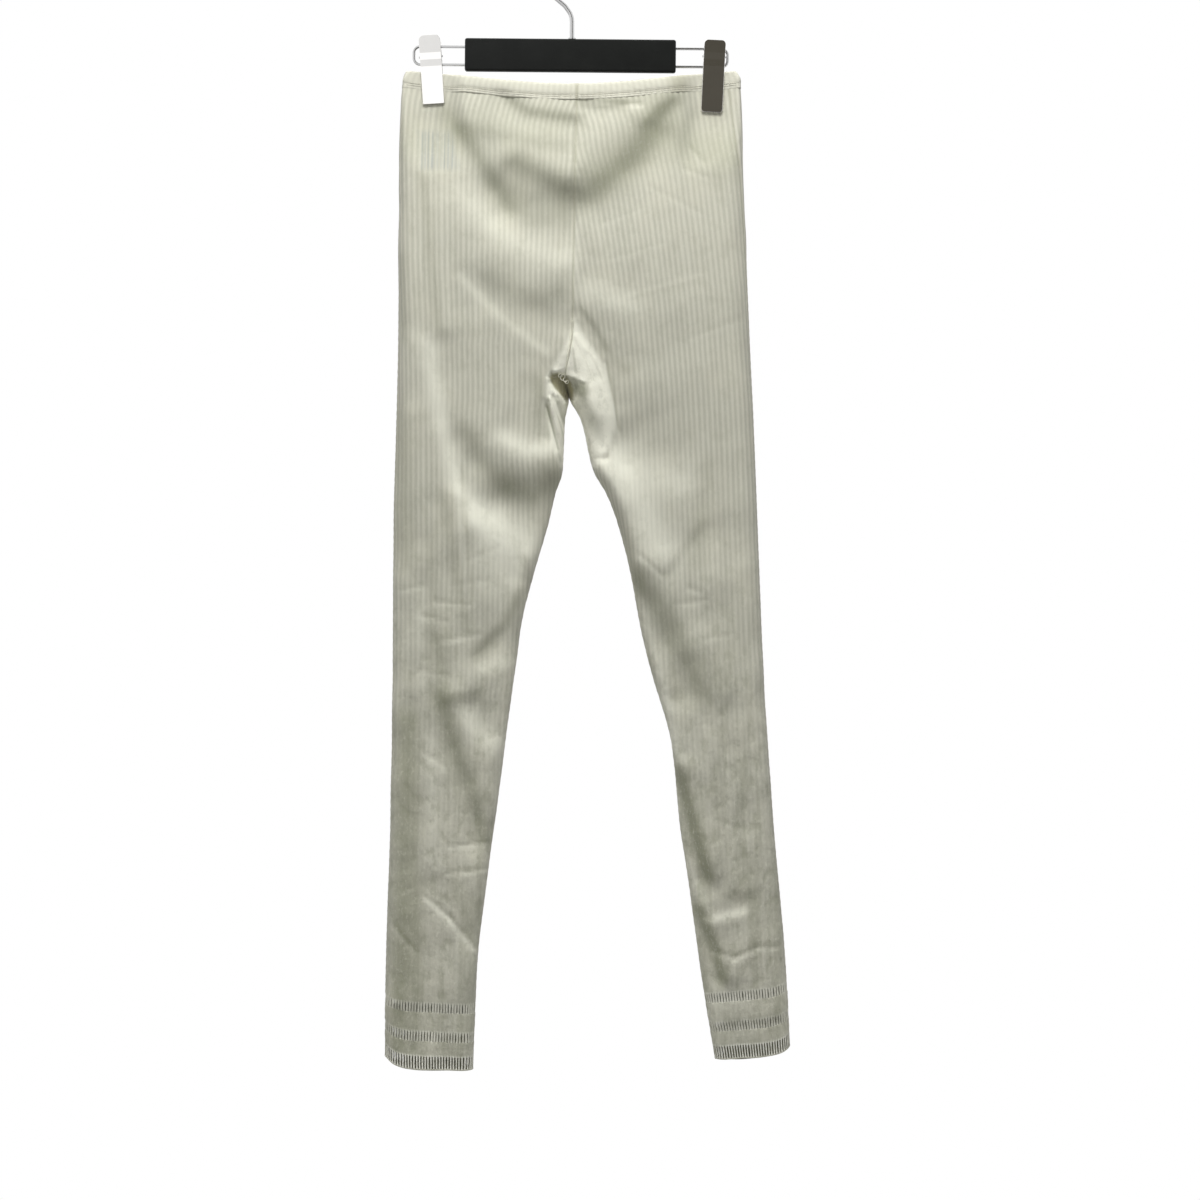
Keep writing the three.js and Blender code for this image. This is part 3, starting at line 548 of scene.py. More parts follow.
# Back: the same, with places in millimetres.
BACK_TURNS = [
    (9, 1.0, (-112, -140), (-80, -178), (-40, -206)), (9, 1.0, (38, -208), (74, -182), (108, -142)),
    (10, 0.9, (-40, -210), (0, -222), (38, -210)), (11, -0.8, (-60, -236), (0, -252), (60, -236)),
    (9, 0.9, (-70, -330), (-30, -362), (-6, -356)), (9, 0.9, (6, -356), (34, -364), (72, -334)),
    (10, 1.1, (-104, -448), (-60, -470), (-22, -462)),
    (10, -0.8, (-110, -420), (-60, -440), (-26, -436)), (10, 1.1, (30, -470), (70, -482), (112, -450)),
    (10, -0.8, (30, -446), (70, -456), (112, -426)), (8, 1.0, (-118, -650), (-70, -622)),
    (8, 1.0, (74, -604), (120, -640)), (8, -0.7, (-120, -612), (-70, -596)),
    (7, 0.9, (-136, -760), (-96, -790)), (7, 0.9, (106, -744), (146, -782)),
    (7, -0.7, (104, -700), (150, -716)), (7, 0.8, (-150, -880), (-106, -868)),
    (7, 0.8, (130, -872), (176, -890)), (6, -0.6, (128, -930), (176, -936)),
]

# Painted shades of the front, written like its turns; a negative amount paints light.
FRONT_SHADES = [
    (25, 1.5, (690, 150), (738, 156)), (24, 1.0, (400, 138), (440, 146)),
    (20, 0.6, (612, 100), (664, 88)), (24, 1.35, (598, 178), (638, 150), (666, 118)),
    (7.5, 2.8, (571, 388), (582, 391)), (26, 0.9, (480, 126), (560, 130)),
    (9, 0.5, (594, 418), (602, 448)), (8, 0.6, (539, 386), (544, 436)),
    (5, 0.6, (562, 420), (562, 456)), (26, -0.9, (490, 536), (512, 574)),
    (11, 0.9, (403, 1050), (408, 720)), (10, 0.5, (470, 1040), (474, 900)),
    (1.6, 1.3, (552, 402), (560, 424), (566, 452)), (1.6, 1.1, (557, 398), (564, 416), (568, 438)),
    (1.6, 1.0, (548, 410), (555, 438), (561, 462)), (1.6, -0.9, (550, 404), (558, 430), (564, 458)),
    (1.8, 0.9, (576, 345), (586, 362), (592, 382)), (1.8, 0.8, (580, 342), (594, 362), (604, 386)),
    (1.6, -0.9, (578, 344), (590, 364), (598, 384)), (1.6, 0.7, (573, 352), (576, 372), (574, 380)),
]
print("turns:", len(FRONT_TURNS), "in front,", len(BACK_TURNS), "behind, and", len(FRONT_SHADES), "shades")

# %% How folds, creases and turns add up
SHARE_OF_FOLD, FOLD_REACH = 0.25, 3
CREASE_SHADE, DEEPEST_SHADED, CREASE_REACH = 4.5, 0.5, 4
TURN_SLOPE, TURN_REACH, TURN_END = 0.22, 3, 1.3


def lerp(a, b, t):
    return a + (b - a) * t


def ease(t):
    t = np.clip(t, 0, 1)
    return t * t * (3 - 2 * t)


def round_over(t):
    return np.sqrt(1 - (1 - np.clip(t, 0, 1)) ** 2)


def in_millimetres(creases):
    return [(*from_photo(a, b), *from_photo(c, d), width, depth) for a, b, c, d, width, depth in creases]


def turn_in_millimetres(turns):
    return [(width, amount, *(from_photo(*point) for point in line)) for width, amount, *line in turns]


CREASES = {"front": in_millimetres(FRONT_CREASES), "back": BACK_CREASES}
FOLDS = {
    "front": [(*fold[:5], SHARE_OF_FOLD * fold[5]) for fold in FRONT_FOLDS] + CREASES["front"],
    "back": BACK_FOLDS + CREASES["back"],
}
TURNS = {"front": turn_in_millimetres(FRONT_TURNS), "back": BACK_TURNS}
SHADES = {"front": turn_in_millimetres(FRONT_SHADES), "back": []}


def out_of_reach(z, heights, reach):
    """True where a row lies too far above or below a line to feel it."""
    return z.min() > max(heights) + reach or z.max() < min(heights) - reach


def fold_at(layer, x, z):
    """Sum of the soft folds at places on one layer."""
    total = np.zeros_like(x)
    for x0, z0, x1, z1, width, depth in FOLDS[layer]:
        if out_of_reach(z, (z0, z1), FOLD_REACH * width):
            continue
        dx, dz = x1 - x0, z1 - z0
        along = np.clip(((x - x0) * dx + (z - z0) * dz) / (dx * dx + dz * dz), 0, 1)
        gap = (x - x0 - along * dx) ** 2 + (z - z0 - along * dz) ** 2
        total += depth * np.exp(-gap / width**2)
    return total


def nearest(line, x, z):
    """Signed distance across a bent line, up is positive, and distance past its ends."""
    best, across, past = np.full_like(x, np.inf), np.zeros_like(x), np.zeros_like(x)
    for number, ((x0, z0), (x1, z1)) in enumerate(zip(line, line[1:])):
        dx, dz = x1 - x0, z1 - z0
        long = math.hypot(dx, dz)
        along = ((x - x0) * dx + (z - z0) * dz) / long
        before, after = np.maximum(0, -along), np.maximum(0, along - long)
        aside = ((z - z0) * dx - (x - x0) * dz) / long
        end = before * (number == 0) + after * (number == len(line) - 2)
        round_joint = np.copysign(np.hypot(aside, before + after - end), aside)
        gap = np.hypot(aside, before + after)
        near = gap < best
        best = np.where(near, gap, best)
        across, past = np.where(near, round_joint, across), np.where(near, end, past)
    return across, past


def turns_at(layer, x, z):
    """Relief of the turns at places on one layer, and the painted shade and light that turns, creases and
    shades lay on the cloth.
    """
    relief, shade_there = np.zeros_like(x), np.zeros_like(x)
    for width, amount, *line in TURNS[layer]:
        if out_of_reach(z, [point[1] for point in line], 3 * TURN_REACH * width):
            continue
        across, past = nearest(line, x, z)
        kept = amount * np.exp(-(past / (TURN_END * width)) ** 2)
        fade = np.exp(-(across / (TURN_REACH * width)) ** 2)
        relief += kept * TURN_SLOPE * width * np.tanh(across / width) * fade
        shade_there += kept * np.exp(-(across / width) ** 2)
    for x0, z0, x1, z1, width, depth in CREASES[layer]:
        if out_of_reach(z, (z0, z1), CREASE_REACH * width):
            continue
        across, past = nearest([(x0, z0), (x1, z1)], x, z)
        kept = np.exp(-(across / width) ** 2 - (past / width) ** 2)
        strength = CREASE_SHADE * np.clip(depth, -DEEPEST_SHADED, DEEPEST_SHADED)
        shade_there -= strength * kept * across / width
    for width, amount, *line in SHADES[layer]:
        across, past = nearest(line, x, z)
        shade_there += amount * np.exp(-(np.hypot(across, past) / width) ** 2)
    return relief, shade_there


trial = turns_at("front", np.zeros(1), np.full(1, -220.0))
print("in the middle of the front, 22 cm down, the relief is", np.round(trial[0], 2), "mm")

# %% [markdown]
# One row of cloth.
# At each height the leg is a closed line: out from the middle over the front, round the outer
# fold and back behind. The clips press it flat, the waist sags between them, and the hem lifts
# at its outer corner. Every later step reads places on these lines by length, as cloth is measured.

# %% Sections
SAG_DROP, SAG_REACH, SAG_POWER, SAG_END = 12.8, 165, 1.6, -260
CLIP_HALF, CLIP_FADE, CLIP_BOTTOM, CLIP_END = 13, 20, -147, 60
LIFT_START, LIFT_POWER = -900, 7
HIP_ROUND, LEG_ROUND = 0.2, 0.15
HIP_END, LEG_START = -340, -490
SAMPLES = 260


def pressed(half, x, z):
    """How much the clip of a half presses the layers together: 1 under the jaws, 0 away from them."""
    centre = half["clip_x"] + half["clip_lean"] * (BAND_TOP - z)
    across = 1 - ease((np.abs(x - centre) - CLIP_HALF) / CLIP_FADE)
    return across * ease((z - CLIP_BOTTOM + CLIP_END) / CLIP_END)


def row_line(half, z_row, u):
    """Places of a row from the outer fold, u = 0, to the middle, u = 1."""
    name = half["name"]
    width = abs(OUTLINE.smooth(name, z_row) - MIDDLE.smooth(name, z_row))
    lift = half["lift"] * ease((LIFT_START - z_row) / (LIFT_START - half["hem"]))
    tilt = TILT.smooth(name, z_row)
    sag = SAG_DROP * ease((z_row - SAG_END) / (BAND_TOP - SAG_END))
    outer = OUTLINE.smooth(name, z_row + tilt * width + lift)
    inner = MIDDLE.smooth(name, z_row)
    x = lerp(outer, inner, u)
    droop = sag * np.cos(np.pi / 2 * np.clip(np.abs(x) / SAG_REACH, 0, 1)) ** SAG_POWER
    z = z_row - droop + tilt * np.abs(x - inner) + lift * (1 - u) ** LIFT_POWER
    return x, z, outer, inner


def layer_depth(half, layer, z_row, u, x, z, outer, inner):
    """Distance of a layer from the middle plane."""
    hip = 1 - HIP_ROUND + HIP_ROUND * np.sin(np.pi / 2 * u)
    leg = 1 - LEG_ROUND + LEG_ROUND * np.sin(np.pi * u)
    full = lerp(hip, leg, ease((HIP_END - z_row) / (HIP_END - LEG_START)))
    press = pressed(half, x, z)
    opening = lerp(DEPTH.smooth("half", z_row) * full, LEAST_DEPTH, press)
    fold = (fold_at(layer, x, z) + turns_at(layer, x, z)[0]) * (1 - press)
    rounded = round_over(np.abs(x - outer) / DEPTH.smooth("outer_round", z_row))
    depth = np.maximum(LEAST_DEPTH, opening + fold) * rounded
    share = TURN_UNDER.straight(layer, z_row)
    edge = share * (opening + fold * max(0, share) ** 2)
    return edge + (depth - edge) * round_over(np.abs(x - inner) / DEPTH.smooth("inner_round", z_row))


class Section:
    """The closed line of one half at one height, read by length from the front middle."""

    def __init__(self, half, z_row):
        u = (1 - np.cos(np.pi * np.linspace(0, 1, SAMPLES + 1))) / 2
        x, z, outer, inner = row_line(half, z_row, u)
        front = layer_depth(half, "front", z_row, u, x, z, outer, inner)
        back = layer_depth(half, "back", z_row, u, x, z, outer, inner)
        line = np.concatenate([
            np.stack([x, -front, z], 1)[::-1], np.stack([x, back, z], 1)[1:],
        ])
        self.line, self.side = line, half["side"]
        steps = np.linalg.norm(np.diff(line, axis=0), axis=1)
        self.arc = np.concatenate([[0], np.cumsum(steps)])
        self.length, self.fold = self.arc[-1], self.arc[SAMPLES]

    def at(self, length):
        return np.stack([np.interp(length, self.arc, self.line[:, k]) for k in range(3)], 1)

    def normal(self, length, reach=0.6):
        ahead = self.at(np.minimum(length + reach, self.length))
        along = ahead - self.at(np.maximum(length - reach, 0))
        outward = np.stack([along[:, 1], -along[:, 0], np.zeros(len(along))], 1) * self.side
        return outward / np.linalg.norm(outward, axis=1, keepdims=True)


print("half the waist:", round(Section(LEFT, BAND_TOP).length), "mm")

# %% [markdown]
# The surface of the knit.
# On its section the cloth still has relief: the ribs, the groove and puckers beside each seam,
# a slight unevenness that no real cloth is without, and the smooth piece at the crotch where no
# ribs run, whose pale colour is partly its own and partly painted light. The relief is added
# along the normal, outside for the ribs and on both sides for what moves the whole cloth.

# %% Relief
RIB_HEIGHT, RIB_FADE, RIB_LOW = 0.42, 6, 0.45
DIP_DEEP = 3.0
WAVE_COUNT, WAVE_LONG, WAVE_SLOPE, WAVE_TALL = 28, (16, 62), 0.0022, 0.7
CALM_BESIDE_SEAM, PUCKER_HIGH, PUCKER_REACH = 9, 0.2, 5
GROOVE_DEEP, GROOVE_WIDE = 0.75, 1.1
LIP_HIGH, LIP_AWAY, LIP_WIDE = 0.28, 2.9, 1.3


def patch(*rows):
    """A patch of the front from rows of the photograph: height, left pixel and right pixel."""
    return Table("z left right", *(
        (from_photo(0, y)[1], from_photo(left, y)[0], from_photo(right, y)[0]) for y, left, right in rows
    ))


GUSSET_PATCH = patch(
    (322, 573, 576), (338, 570, 583), (352, 563, 594), (366, 555, 602), (380, 547, 606),
    (400, 546, 611), (430, 546, 615), (448, 552, 609), (460, 557, 602), (468, 560, 595),
)
DIP_PATCH = patch(
    (374, 552, 561), (379, 549, 569), (384, 550, 575), (390, 553, 578), (396, 560, 577), (402, 565, 574),
)
# Where painted shade darkens the hollow under the crotch, on the front.
HOLLOW_SHADE_PATCH = patch(
    (375, 552, 560), (379, 550, 567), (384, 552, 571), (390, 556, 573), (396, 561, 573), (400, 565, 572),
)
TAG_PATCH = patch((132, 419, 452), (172, 422, 462))
random = np.random.default_rng(7)
WAVES = {
    layer: dict(
        turn=random.uniform(0, 2 * np.pi, WAVE_COUNT), phase=random.uniform(0, 2 * np.pi, WAVE_COUNT),
        long=random.uniform(*WAVE_LONG, WAVE_COUNT),
    ) for layer in ("front", "back")
}
RIB_DIFFERENCES = random.uniform(0.75, 1.12, 80)


def on_patch(where, layer, x, z, soft):
    """1 on a patch of the front and 0 off it, with soft edges; nothing on the back."""
    ends = np.minimum(where.z[0] - z, z - where.z[-1])
    across = np.minimum(x - where.straight("left", z), where.straight("right", z) - x)
    return ease(np.minimum(across, ends) / soft + 0.5) * (layer == "front")


def unevenness(layer, x, z):
    waves = WAVES[layer]
    kx = np.cos(waves["turn"]) * 2 * np.pi / waves["long"]
    kz = np.sin(waves["turn"]) * 2 * np.pi / waves["long"] * WAVE_TALL
    heights = WAVE_SLOPE * waves["long"]
    return (heights * np.sin(np.outer(x, kx) + np.outer(z, kz) + waves["phase"])).sum(1)


def cloth_shift(half, layer, points, distance, span):
    """How far the whole cloth moves outwards: unevenness, and puckers along the seams."""
    x, z = points[:, 0], points[:, 2]
    loose = 1 - pressed(half, x, z)
    from_middle = span - distance
    calm = ease(distance / CALM_BESIDE_SEAM) * ease(from_middle / CALM_BESIDE_SEAM)
    legs = lerp(0.7, 1.9, ease((z + 420) / -300))
    side = np.exp(-distance / PUCKER_REACH) * np.sin(z / 1.25)
    middle = np.exp(-from_middle / PUCKER_REACH) * np.sin(z / 1.4 + 1)
    calm_ends = ease(distance / 2.5) * ease(from_middle / 2.5)
    return loose * (unevenness(layer, x, z) * calm * legs + PUCKER_HIGH * (side + middle) * calm_ends)


def rib_relief(half, layer, points, distance, span, pitch):
    """Height of the ribs and of the groove beside each seam."""
    x, z = points[:, 0], points[:, 2]
    loose, gusset = 1 - pressed(half, x, z), on_patch(GUSSET_PATCH, layer, x, z, 4)
    number = np.floor(distance / pitch).astype(int) % len(RIB_DIFFERENCES)
    rib = RIB_HEIGHT * (0.5 - 0.5 * np.cos(2 * np.pi * distance / pitch)) * RIB_DIFFERENCES[number]
    rib = rib * ease((span - distance) / RIB_FADE) * (1 - 0.9 * gusset)
    rib = rib * lerp(1, RIB_LOW, ease((z + 520) / -440))
    groove = 0
    for away in (distance, span - distance):
        lip = LIP_HIGH * np.exp(-((away - LIP_AWAY) / LIP_WIDE) ** 2)
        groove = groove - GROOVE_DEEP * np.exp(-(away / GROOVE_WIDE) ** 2) + lip
    return loose * (rib + groove * (1 - 0.8 * gusset))


hips = Section(LEFT, -250)
print("ribs counted across a half:", round(hips.length / 2 / RIBS.smooth("pitch", -250), 1))

# %% [markdown]
# Drawn-thread rows.
# Near the hem some rows of the knit are left out, so that only bars of yarn cross them. The
# lowest row is wide open and ends in one thin edge. Real bars are needed here: light passes
# between them and the outline of the hem shows it. The cloth is cut into columns that follow
# the bars, the cells between the bars are left out, and walls close the edges of each gap.

# %% Rows and columns of a leg
COLUMNS_PER_RIB, INSIDE_EVERY = 6, 3
HIP_ROWS, CROTCH_ROWS = (-119.4, -384), (-385, -440)
ROW_STEP, CROTCH_STEP, LOW_STEP = 2.8, 1.6, 2.3
LADDER_START = 66
BAR_PITCH, BAR_WAIST, BARE_AT_EDGE = 2.72, 0.14, 0.6
END_COLUMNS, PLAIN_END = np.array([0, 1.2, 2.4]), 3.4
LADDERS = [
    dict(top=62.4, bottom=53.4, bar=0.80, back=0.10, sink=0.05, proud=0.25, yarn=0.4),
    dict(top=35.4, bottom=26.4, bar=0.76, back=0.12, sink=0.05, proud=0.28, yarn=0.45),
    dict(top=12.6, bottom=1.2, bar=0.52, back=0.37, sink=0.25, proud=0.15, yarn=1.0),
]
SHADOW_INSIDE = 76
BACK_HEM_DROP, BACK_HEM_REACH = 4.5, 70
BAR_ROWS = (0, 0.12, 0.32, 0.5, 0.68, 0.88, 1)
BAR_JITTER = random.uniform(-0.16, 0.16, (4, 40))


def upper_rows(half):
    """Heights of the rows from under the waistband to where the drawn-thread rows start."""
    rows = [*np.arange(*HIP_ROWS, -ROW_STEP), *np.arange(*CROTCH_ROWS, -CROTCH_STEP)]
    end = half["hem"] + LADDER_START
    count = round((rows[-1] - end) / ROW_STEP)
    return [*rows, *np.linspace(rows[-1], end, count + 1)[1:-1]]


def ladder_rows():
    """Heights above the hem, the ladder that each row is in, and how far down that ladder it is."""
    rows, above = [], LADDER_START
    for ladder in LADDERS:
        count = max(1, round((above - ladder["top"]) / LOW_STEP))
        rows += [(h, None, 0) for h in np.linspace(above, ladder["top"], count + 1)[:-1]]
        rows += [(lerp(ladder["top"], ladder["bottom"], t), ladder, t) for t in BAR_ROWS]
        above = ladder["bottom"] - 0.01
    rows += [(1.0, None, 0), (0.45, None, 0), (0.0, None, 0)]
    return rows


def ladder_columns(span, bars, ladder, t, jitter, behind):
    """Places of the columns along a row: plain end, then four columns a bar, then plain end."""
    pitch = (span - 2 * PLAIN_END) / bars
    share, shift = 0.5, np.zeros(bars)
    if ladder:
        waist = math.sin(math.pi * t)
        share = ladder["bar"] * (1 - BAR_WAIST * waist) + behind * ladder["back"]
        shift = jitter[:bars] * waist
    starts = PLAIN_END + pitch * np.arange(bars) + shift
    edge = pitch * (1 - share) / 2
    gaps = PLAIN_END + pitch * np.arange(1, bars + 1)
    four = np.stack([starts + edge, starts + pitch / 2, starts + pitch - edge, gaps], 1).ravel()
    return np.concatenate([END_COLUMNS, [PLAIN_END], four, span - END_COLUMNS[::-1]])


def ladder_offsets(bars, ladder, t):
    """How far each column sinks below the cloth's face, and how much of it is bare yarn."""
    ends = len(END_COLUMNS)
    sink, yarn = np.zeros(2 * ends + 1 + 4 * bars), np.zeros(2 * ends + 1 + 4 * bars)
    if ladder:
        within = min(1, 4 * min(t, 1 - t))
        for first, deep, bare in (
            (ends + 1, ladder["sink"], BARE_AT_EDGE), (ends + 2, -ladder["proud"], 1),
            (ends + 3, ladder["sink"], BARE_AT_EDGE),
        ):
            sink[first:-ends:4] = deep * within
            yarn[first:-ends:4] = ladder["yarn"] * bare
    return sink, yarn


print("bars round a leg:", 2 * round((Section(LEFT, -1040).length / 2 - 2 * PLAIN_END) / BAR_PITCH))


# %% Faces between rows
def zipped(a, a_keys, b, b_keys, turned=False):
    """Triangles between two runs of vertices whose keys both rise."""
    faces, i, j = [], 0, 0
    while i < len(a) - 1 or j < len(b) - 1:
        step_a = j == len(b) - 1 or (i < len(a) - 1 and a_keys[i + 1] <= b_keys[j + 1])
        face = [a[i], a[i + 1], b[j]] if step_a else [a[i], b[j + 1], b[j]]
        faces.append(face[::-1] if turned else face)
        i, j = (i + 1, j) if step_a else (i, j + 1)
    return faces


def quads(up, down, turned=False):
    made = np.stack([up[:-1], up[1:], down[1:], down[:-1]], 1)
    return (made[:, ::-1] if turned else made).tolist()


def strip(up, down, up_keys, down_keys, by_share, turned=False):
    """Faces between two rows: square ones where both have the column, then a short zip at the end."""
    if by_share:
        return zipped(up, up_keys, down, down_keys, turned)
    common = min(len(up), len(down)) - 1
    rest_up, rest_down = up[common - 1:], down[common - 1:]
    rest = zipped(rest_up, range(len(rest_up)), rest_down, range(len(rest_down)), turned)
    return quads(up[:common], down[:common], turned) + rest


print("a zip of 3 points to 2:", zipped([0, 1, 2], [0, 0.5, 1], [3, 4], [0, 1]))


# %% A mesh gathered row by row
class Wall:
    """Gathers vertices with their marks, and faces."""

    def __init__(self):
        self.points, self.maps, self.marks, self.faces, self.count = [], [], [], [], 0

    def run(self, points, across, down, **marks):
        number = np.arange(self.count, self.count + len(points))
        self.count += len(points)
        self.points.append(points)
        self.maps.append(np.stack([across, np.full(len(points), down)], 1))
        self.marks.append({k: np.broadcast_to(v, len(points)) for k, v in marks.items()})
        return number

    def piece(self, name, finish):
        points = np.concatenate(self.points)
        maps = np.concatenate(self.maps)
        marks = {k: np.concatenate([m[k] for m in self.marks]) for k in self.marks[0]}
        used = np.unique(np.concatenate([np.array(f) for f in self.faces]))
        renumber = np.zeros(len(points), int)
        renumber[used] = np.arange(len(used))
        faces = [[int(renumber[v]) for v in face] for face in self.faces]
        mesh = bpy.data.meshes.new(name)
        mesh.from_pydata((points[used] * MM).tolist(), [], faces)
        corners = np.zeros(len(mesh.loops), int)
        mesh.loops.foreach_get("vertex_index", corners)
        layer = mesh.uv_layers.new(name="knit")
        layer.data.foreach_set("uv", maps[used][corners].ravel().astype(np.float32))
        for key, values in marks.items():
            mark = mesh.attributes.new(key, "FLOAT", "POINT")
            mark.data.foreach_set("value", values[used].astype(np.float32))
        mesh.materials.append(finish)
        made = bpy.data.objects.new(name, mesh)
        bpy.context.scene.collection.objects.link(made)
        return made


def select_only(made):
    bpy.ops.object.select_all(action="DESELECT")
    made.select_set(True)
    bpy.context.view_layer.objects.active = made


def facing_out(made):
    """Turns a closed mesh outwards if its volume comes out negative."""
    mesh = made.data
    mesh.calc_loop_triangles()
    corner = np.zeros(len(mesh.loop_triangles) * 3, int)
    mesh.loop_triangles.foreach_get("vertices", corner)
    place = np.zeros(len(mesh.vertices) * 3)
    mesh.vertices.foreach_get("co", place)
    a, b, c = place.reshape(-1, 3)[corner].reshape(-1, 3, 3).transpose(1, 0, 2)
    if (a * np.cross(b, c)).sum() < 0:
        mesh.flip_normals()
    return made


print("a wall starts with", Wall().count, "points")


# %% One leg panel
SLIDE_IN, SLIDE_END, SLIDE_FADE = 0.06, 0.77, 0.68
RIBLESS_HEM, RIB_RETURNS, RIB_ON_BARS = 11, 10, 0.25
EDGE_ROUND, EDGE_TALL, BEAD, BEAD_FROM, BEAD_TO = 0.45, 0.5, 0.2, 0.4, 1.5
SEAM_LINE, GUSSET_SOFT, TAG_SOFT, DIP_SOFT, HOLLOW_SHADE_SOFT = 0.9, 7, 9, 4, 3
DARK_AT_HEM, DARK_ABOVE, DARK_HEM_TALL, FRONT_SHARE = 0.9, 0.4, 20, 0.6


def columns_of(half, layer, span, pitch, bars, ladder, t, low):
    """Columns of a row: where they lie, how far they sink, how bare they are, which go inside."""
    if not low:
        step = pitch / COLUMNS_PER_RIB
        distance = np.append(np.arange(0, span / step - 0.4) * step, span)
        plain = np.zeros(len(distance))
        pick = np.unique(np.append(np.arange(0, len(distance), INSIDE_EVERY), len(distance) - 1))
        return distance, plain, plain, pick
    behind = layer == "back"
    jitter = BAR_JITTER[(half is RIGHT) * 2 + behind]
    distance = ladder_columns(span, bars, ladder, t, jitter, behind)
    if behind:
        share = distance / span
        slide = half["bar_slide"] * ease(share / SLIDE_IN) * np.clip((SLIDE_END - share) / SLIDE_FADE, 0, 1)
        distance = distance - slide
    return distance, *ladder_offsets(bars, ladder, t), np.arange(len(distance))


def marks_of(half, layer, x, z, near, yarn):
    """What the finish needs to know at each point of a row."""
    gusset = on_patch(GUSSET_PATCH, layer, x, z, GUSSET_SOFT)
    # The hollow mark is painted shade under the crotch, and turned is the painted shade and light of the
    # folds.
    return dict(
        gusset=gusset, hollow=on_patch(HOLLOW_SHADE_PATCH, layer, x, z, HOLLOW_SHADE_SOFT),
        tag_behind=on_patch(TAG_PATCH, layer, x, z, TAG_SOFT) * (half is LEFT),
        seam=np.exp(-(near / SEAM_LINE) ** 2) * (1 - 0.7 * gusset), yarn=yarn,
        turned=turns_at(layer, x, z)[1], shadow=np.zeros(len(x)),
    )


def row_of_cloth(wall, half, layer, bars, z_row, ladder, t, low):
    """Adds a row outside and inside. Gives both runs with their keys, and the row's span."""
    ring = Section(half, z_row)
    seam = ring.fold + half["seam_turn"] * SIDE_SEAM.smooth("offset", z_row)
    span = seam if layer == "front" else ring.length - seam
    pitch = RIBS.smooth("pitch", z_row)
    distance, sink, yarn, pick = columns_of(half, layer, span, pitch, bars, ladder, t, low)
    length = seam + (-distance if layer == "front" else distance)
    points, normal = ring.at(length), ring.normal(length)
    above = z_row - half["hem"]
    if layer == "back":
        drop = BACK_HEM_DROP * ease(1 - above / BACK_HEM_REACH)
        points[:, 2] -= drop * np.clip(np.sin(np.pi * distance / span), 0, 1) ** 0.6
    relief = rib_relief(half, layer, points, distance, span, pitch)
    relief = relief * (ease((above - RIBLESS_HEM) / RIB_RETURNS) * (RIB_ON_BARS if ladder else 1))
    edge = EDGE_ROUND * (1 - above / EDGE_TALL) ** 2 if above < EDGE_TALL else 0
    bead = BEAD if BEAD_FROM < above < BEAD_TO else 0
    shift = cloth_shift(half, layer, points, distance, span)
    x, z = points[:, 0], points[:, 2]
    marks = marks_of(half, layer, x, z, np.minimum(distance, span - distance), yarn)
    points[:, 1] += DIP_DEEP * on_patch(DIP_PATCH, layer, x, z, DIP_SOFT)
    across, down = distance / pitch, -z_row / 10
    outer = points + normal * (shift + relief - sink - edge + bead)[:, None]
    inner = (points + normal * (shift + sink * 0.9 + edge - bead - WALL)[:, None])[pick]
    picked = {key: values[pick] for key, values in marks.items()}
    if above < SHADOW_INSIDE:
        dark = DARK_AT_HEM if above < DARK_HEM_TALL else DARK_ABOVE
        picked["shadow"] = np.full(len(pick), dark * (1 if layer == "back" else FRONT_SHARE))
    outside = wall.run(outer, across, down, inside=0.0, **marks)
    inside = wall.run(inner, across[pick], down, inside=1.0, **picked)
    return (outside, distance / span), (inside, distance[pick] / span), span


def panel(half, layer):
    """One leg panel from under the waistband to the hem, and its area in square metres."""
    wall = Wall()
    rows = [(z, None, 0, False) for z in upper_rows(half)]
    first_low = len(rows)
    rows += [(half["hem"] + h, ladder, t, True) for h, ladder, t in ladder_rows()]
    first = Section(half, half["hem"] + LADDER_START)
    bars = round((first.length / 2 - 2 * PLAIN_END) / BAR_PITCH)
    outside, inside, spans = zip(*[row_of_cloth(wall, half, layer, bars, *row) for row in rows])
    area = 0
    for row, below, span in zip(rows, rows[1:], spans[1:]):
        area += span * (row[0] - below[0])
    for r in range(first_low):
        for runs, turned in ((outside, False), (inside, True)):
            (up, up_keys), (down, down_keys) = runs[r], runs[r + 1]
            wall.faces += strip(up, down, up_keys, down_keys, r + 1 == first_low, turned)
    out, inn = [run for run, _ in outside], [run for run, _ in inside]
    open_below = [ladder is not None and t < 1 for _, ladder, t, _ in rows[first_low:-1]]
    close_ladders(wall, np.array(out[first_low:]), np.array(inn[first_low:]), open_below, bars)
    wall.faces += zipped(out[0], outside[0][1], inn[0], inside[0][1], True)
    wall.faces += quads(out[-1], inn[-1])
    for r in range(len(rows) - 1):
        for end, turned in ((0, False), (-1, True)):
            face = [out[r][end], out[r + 1][end], inn[r + 1][end], inn[r][end]]
            wall.faces.append(face[::-1] if turned else face)
    return wall, area * MM * MM


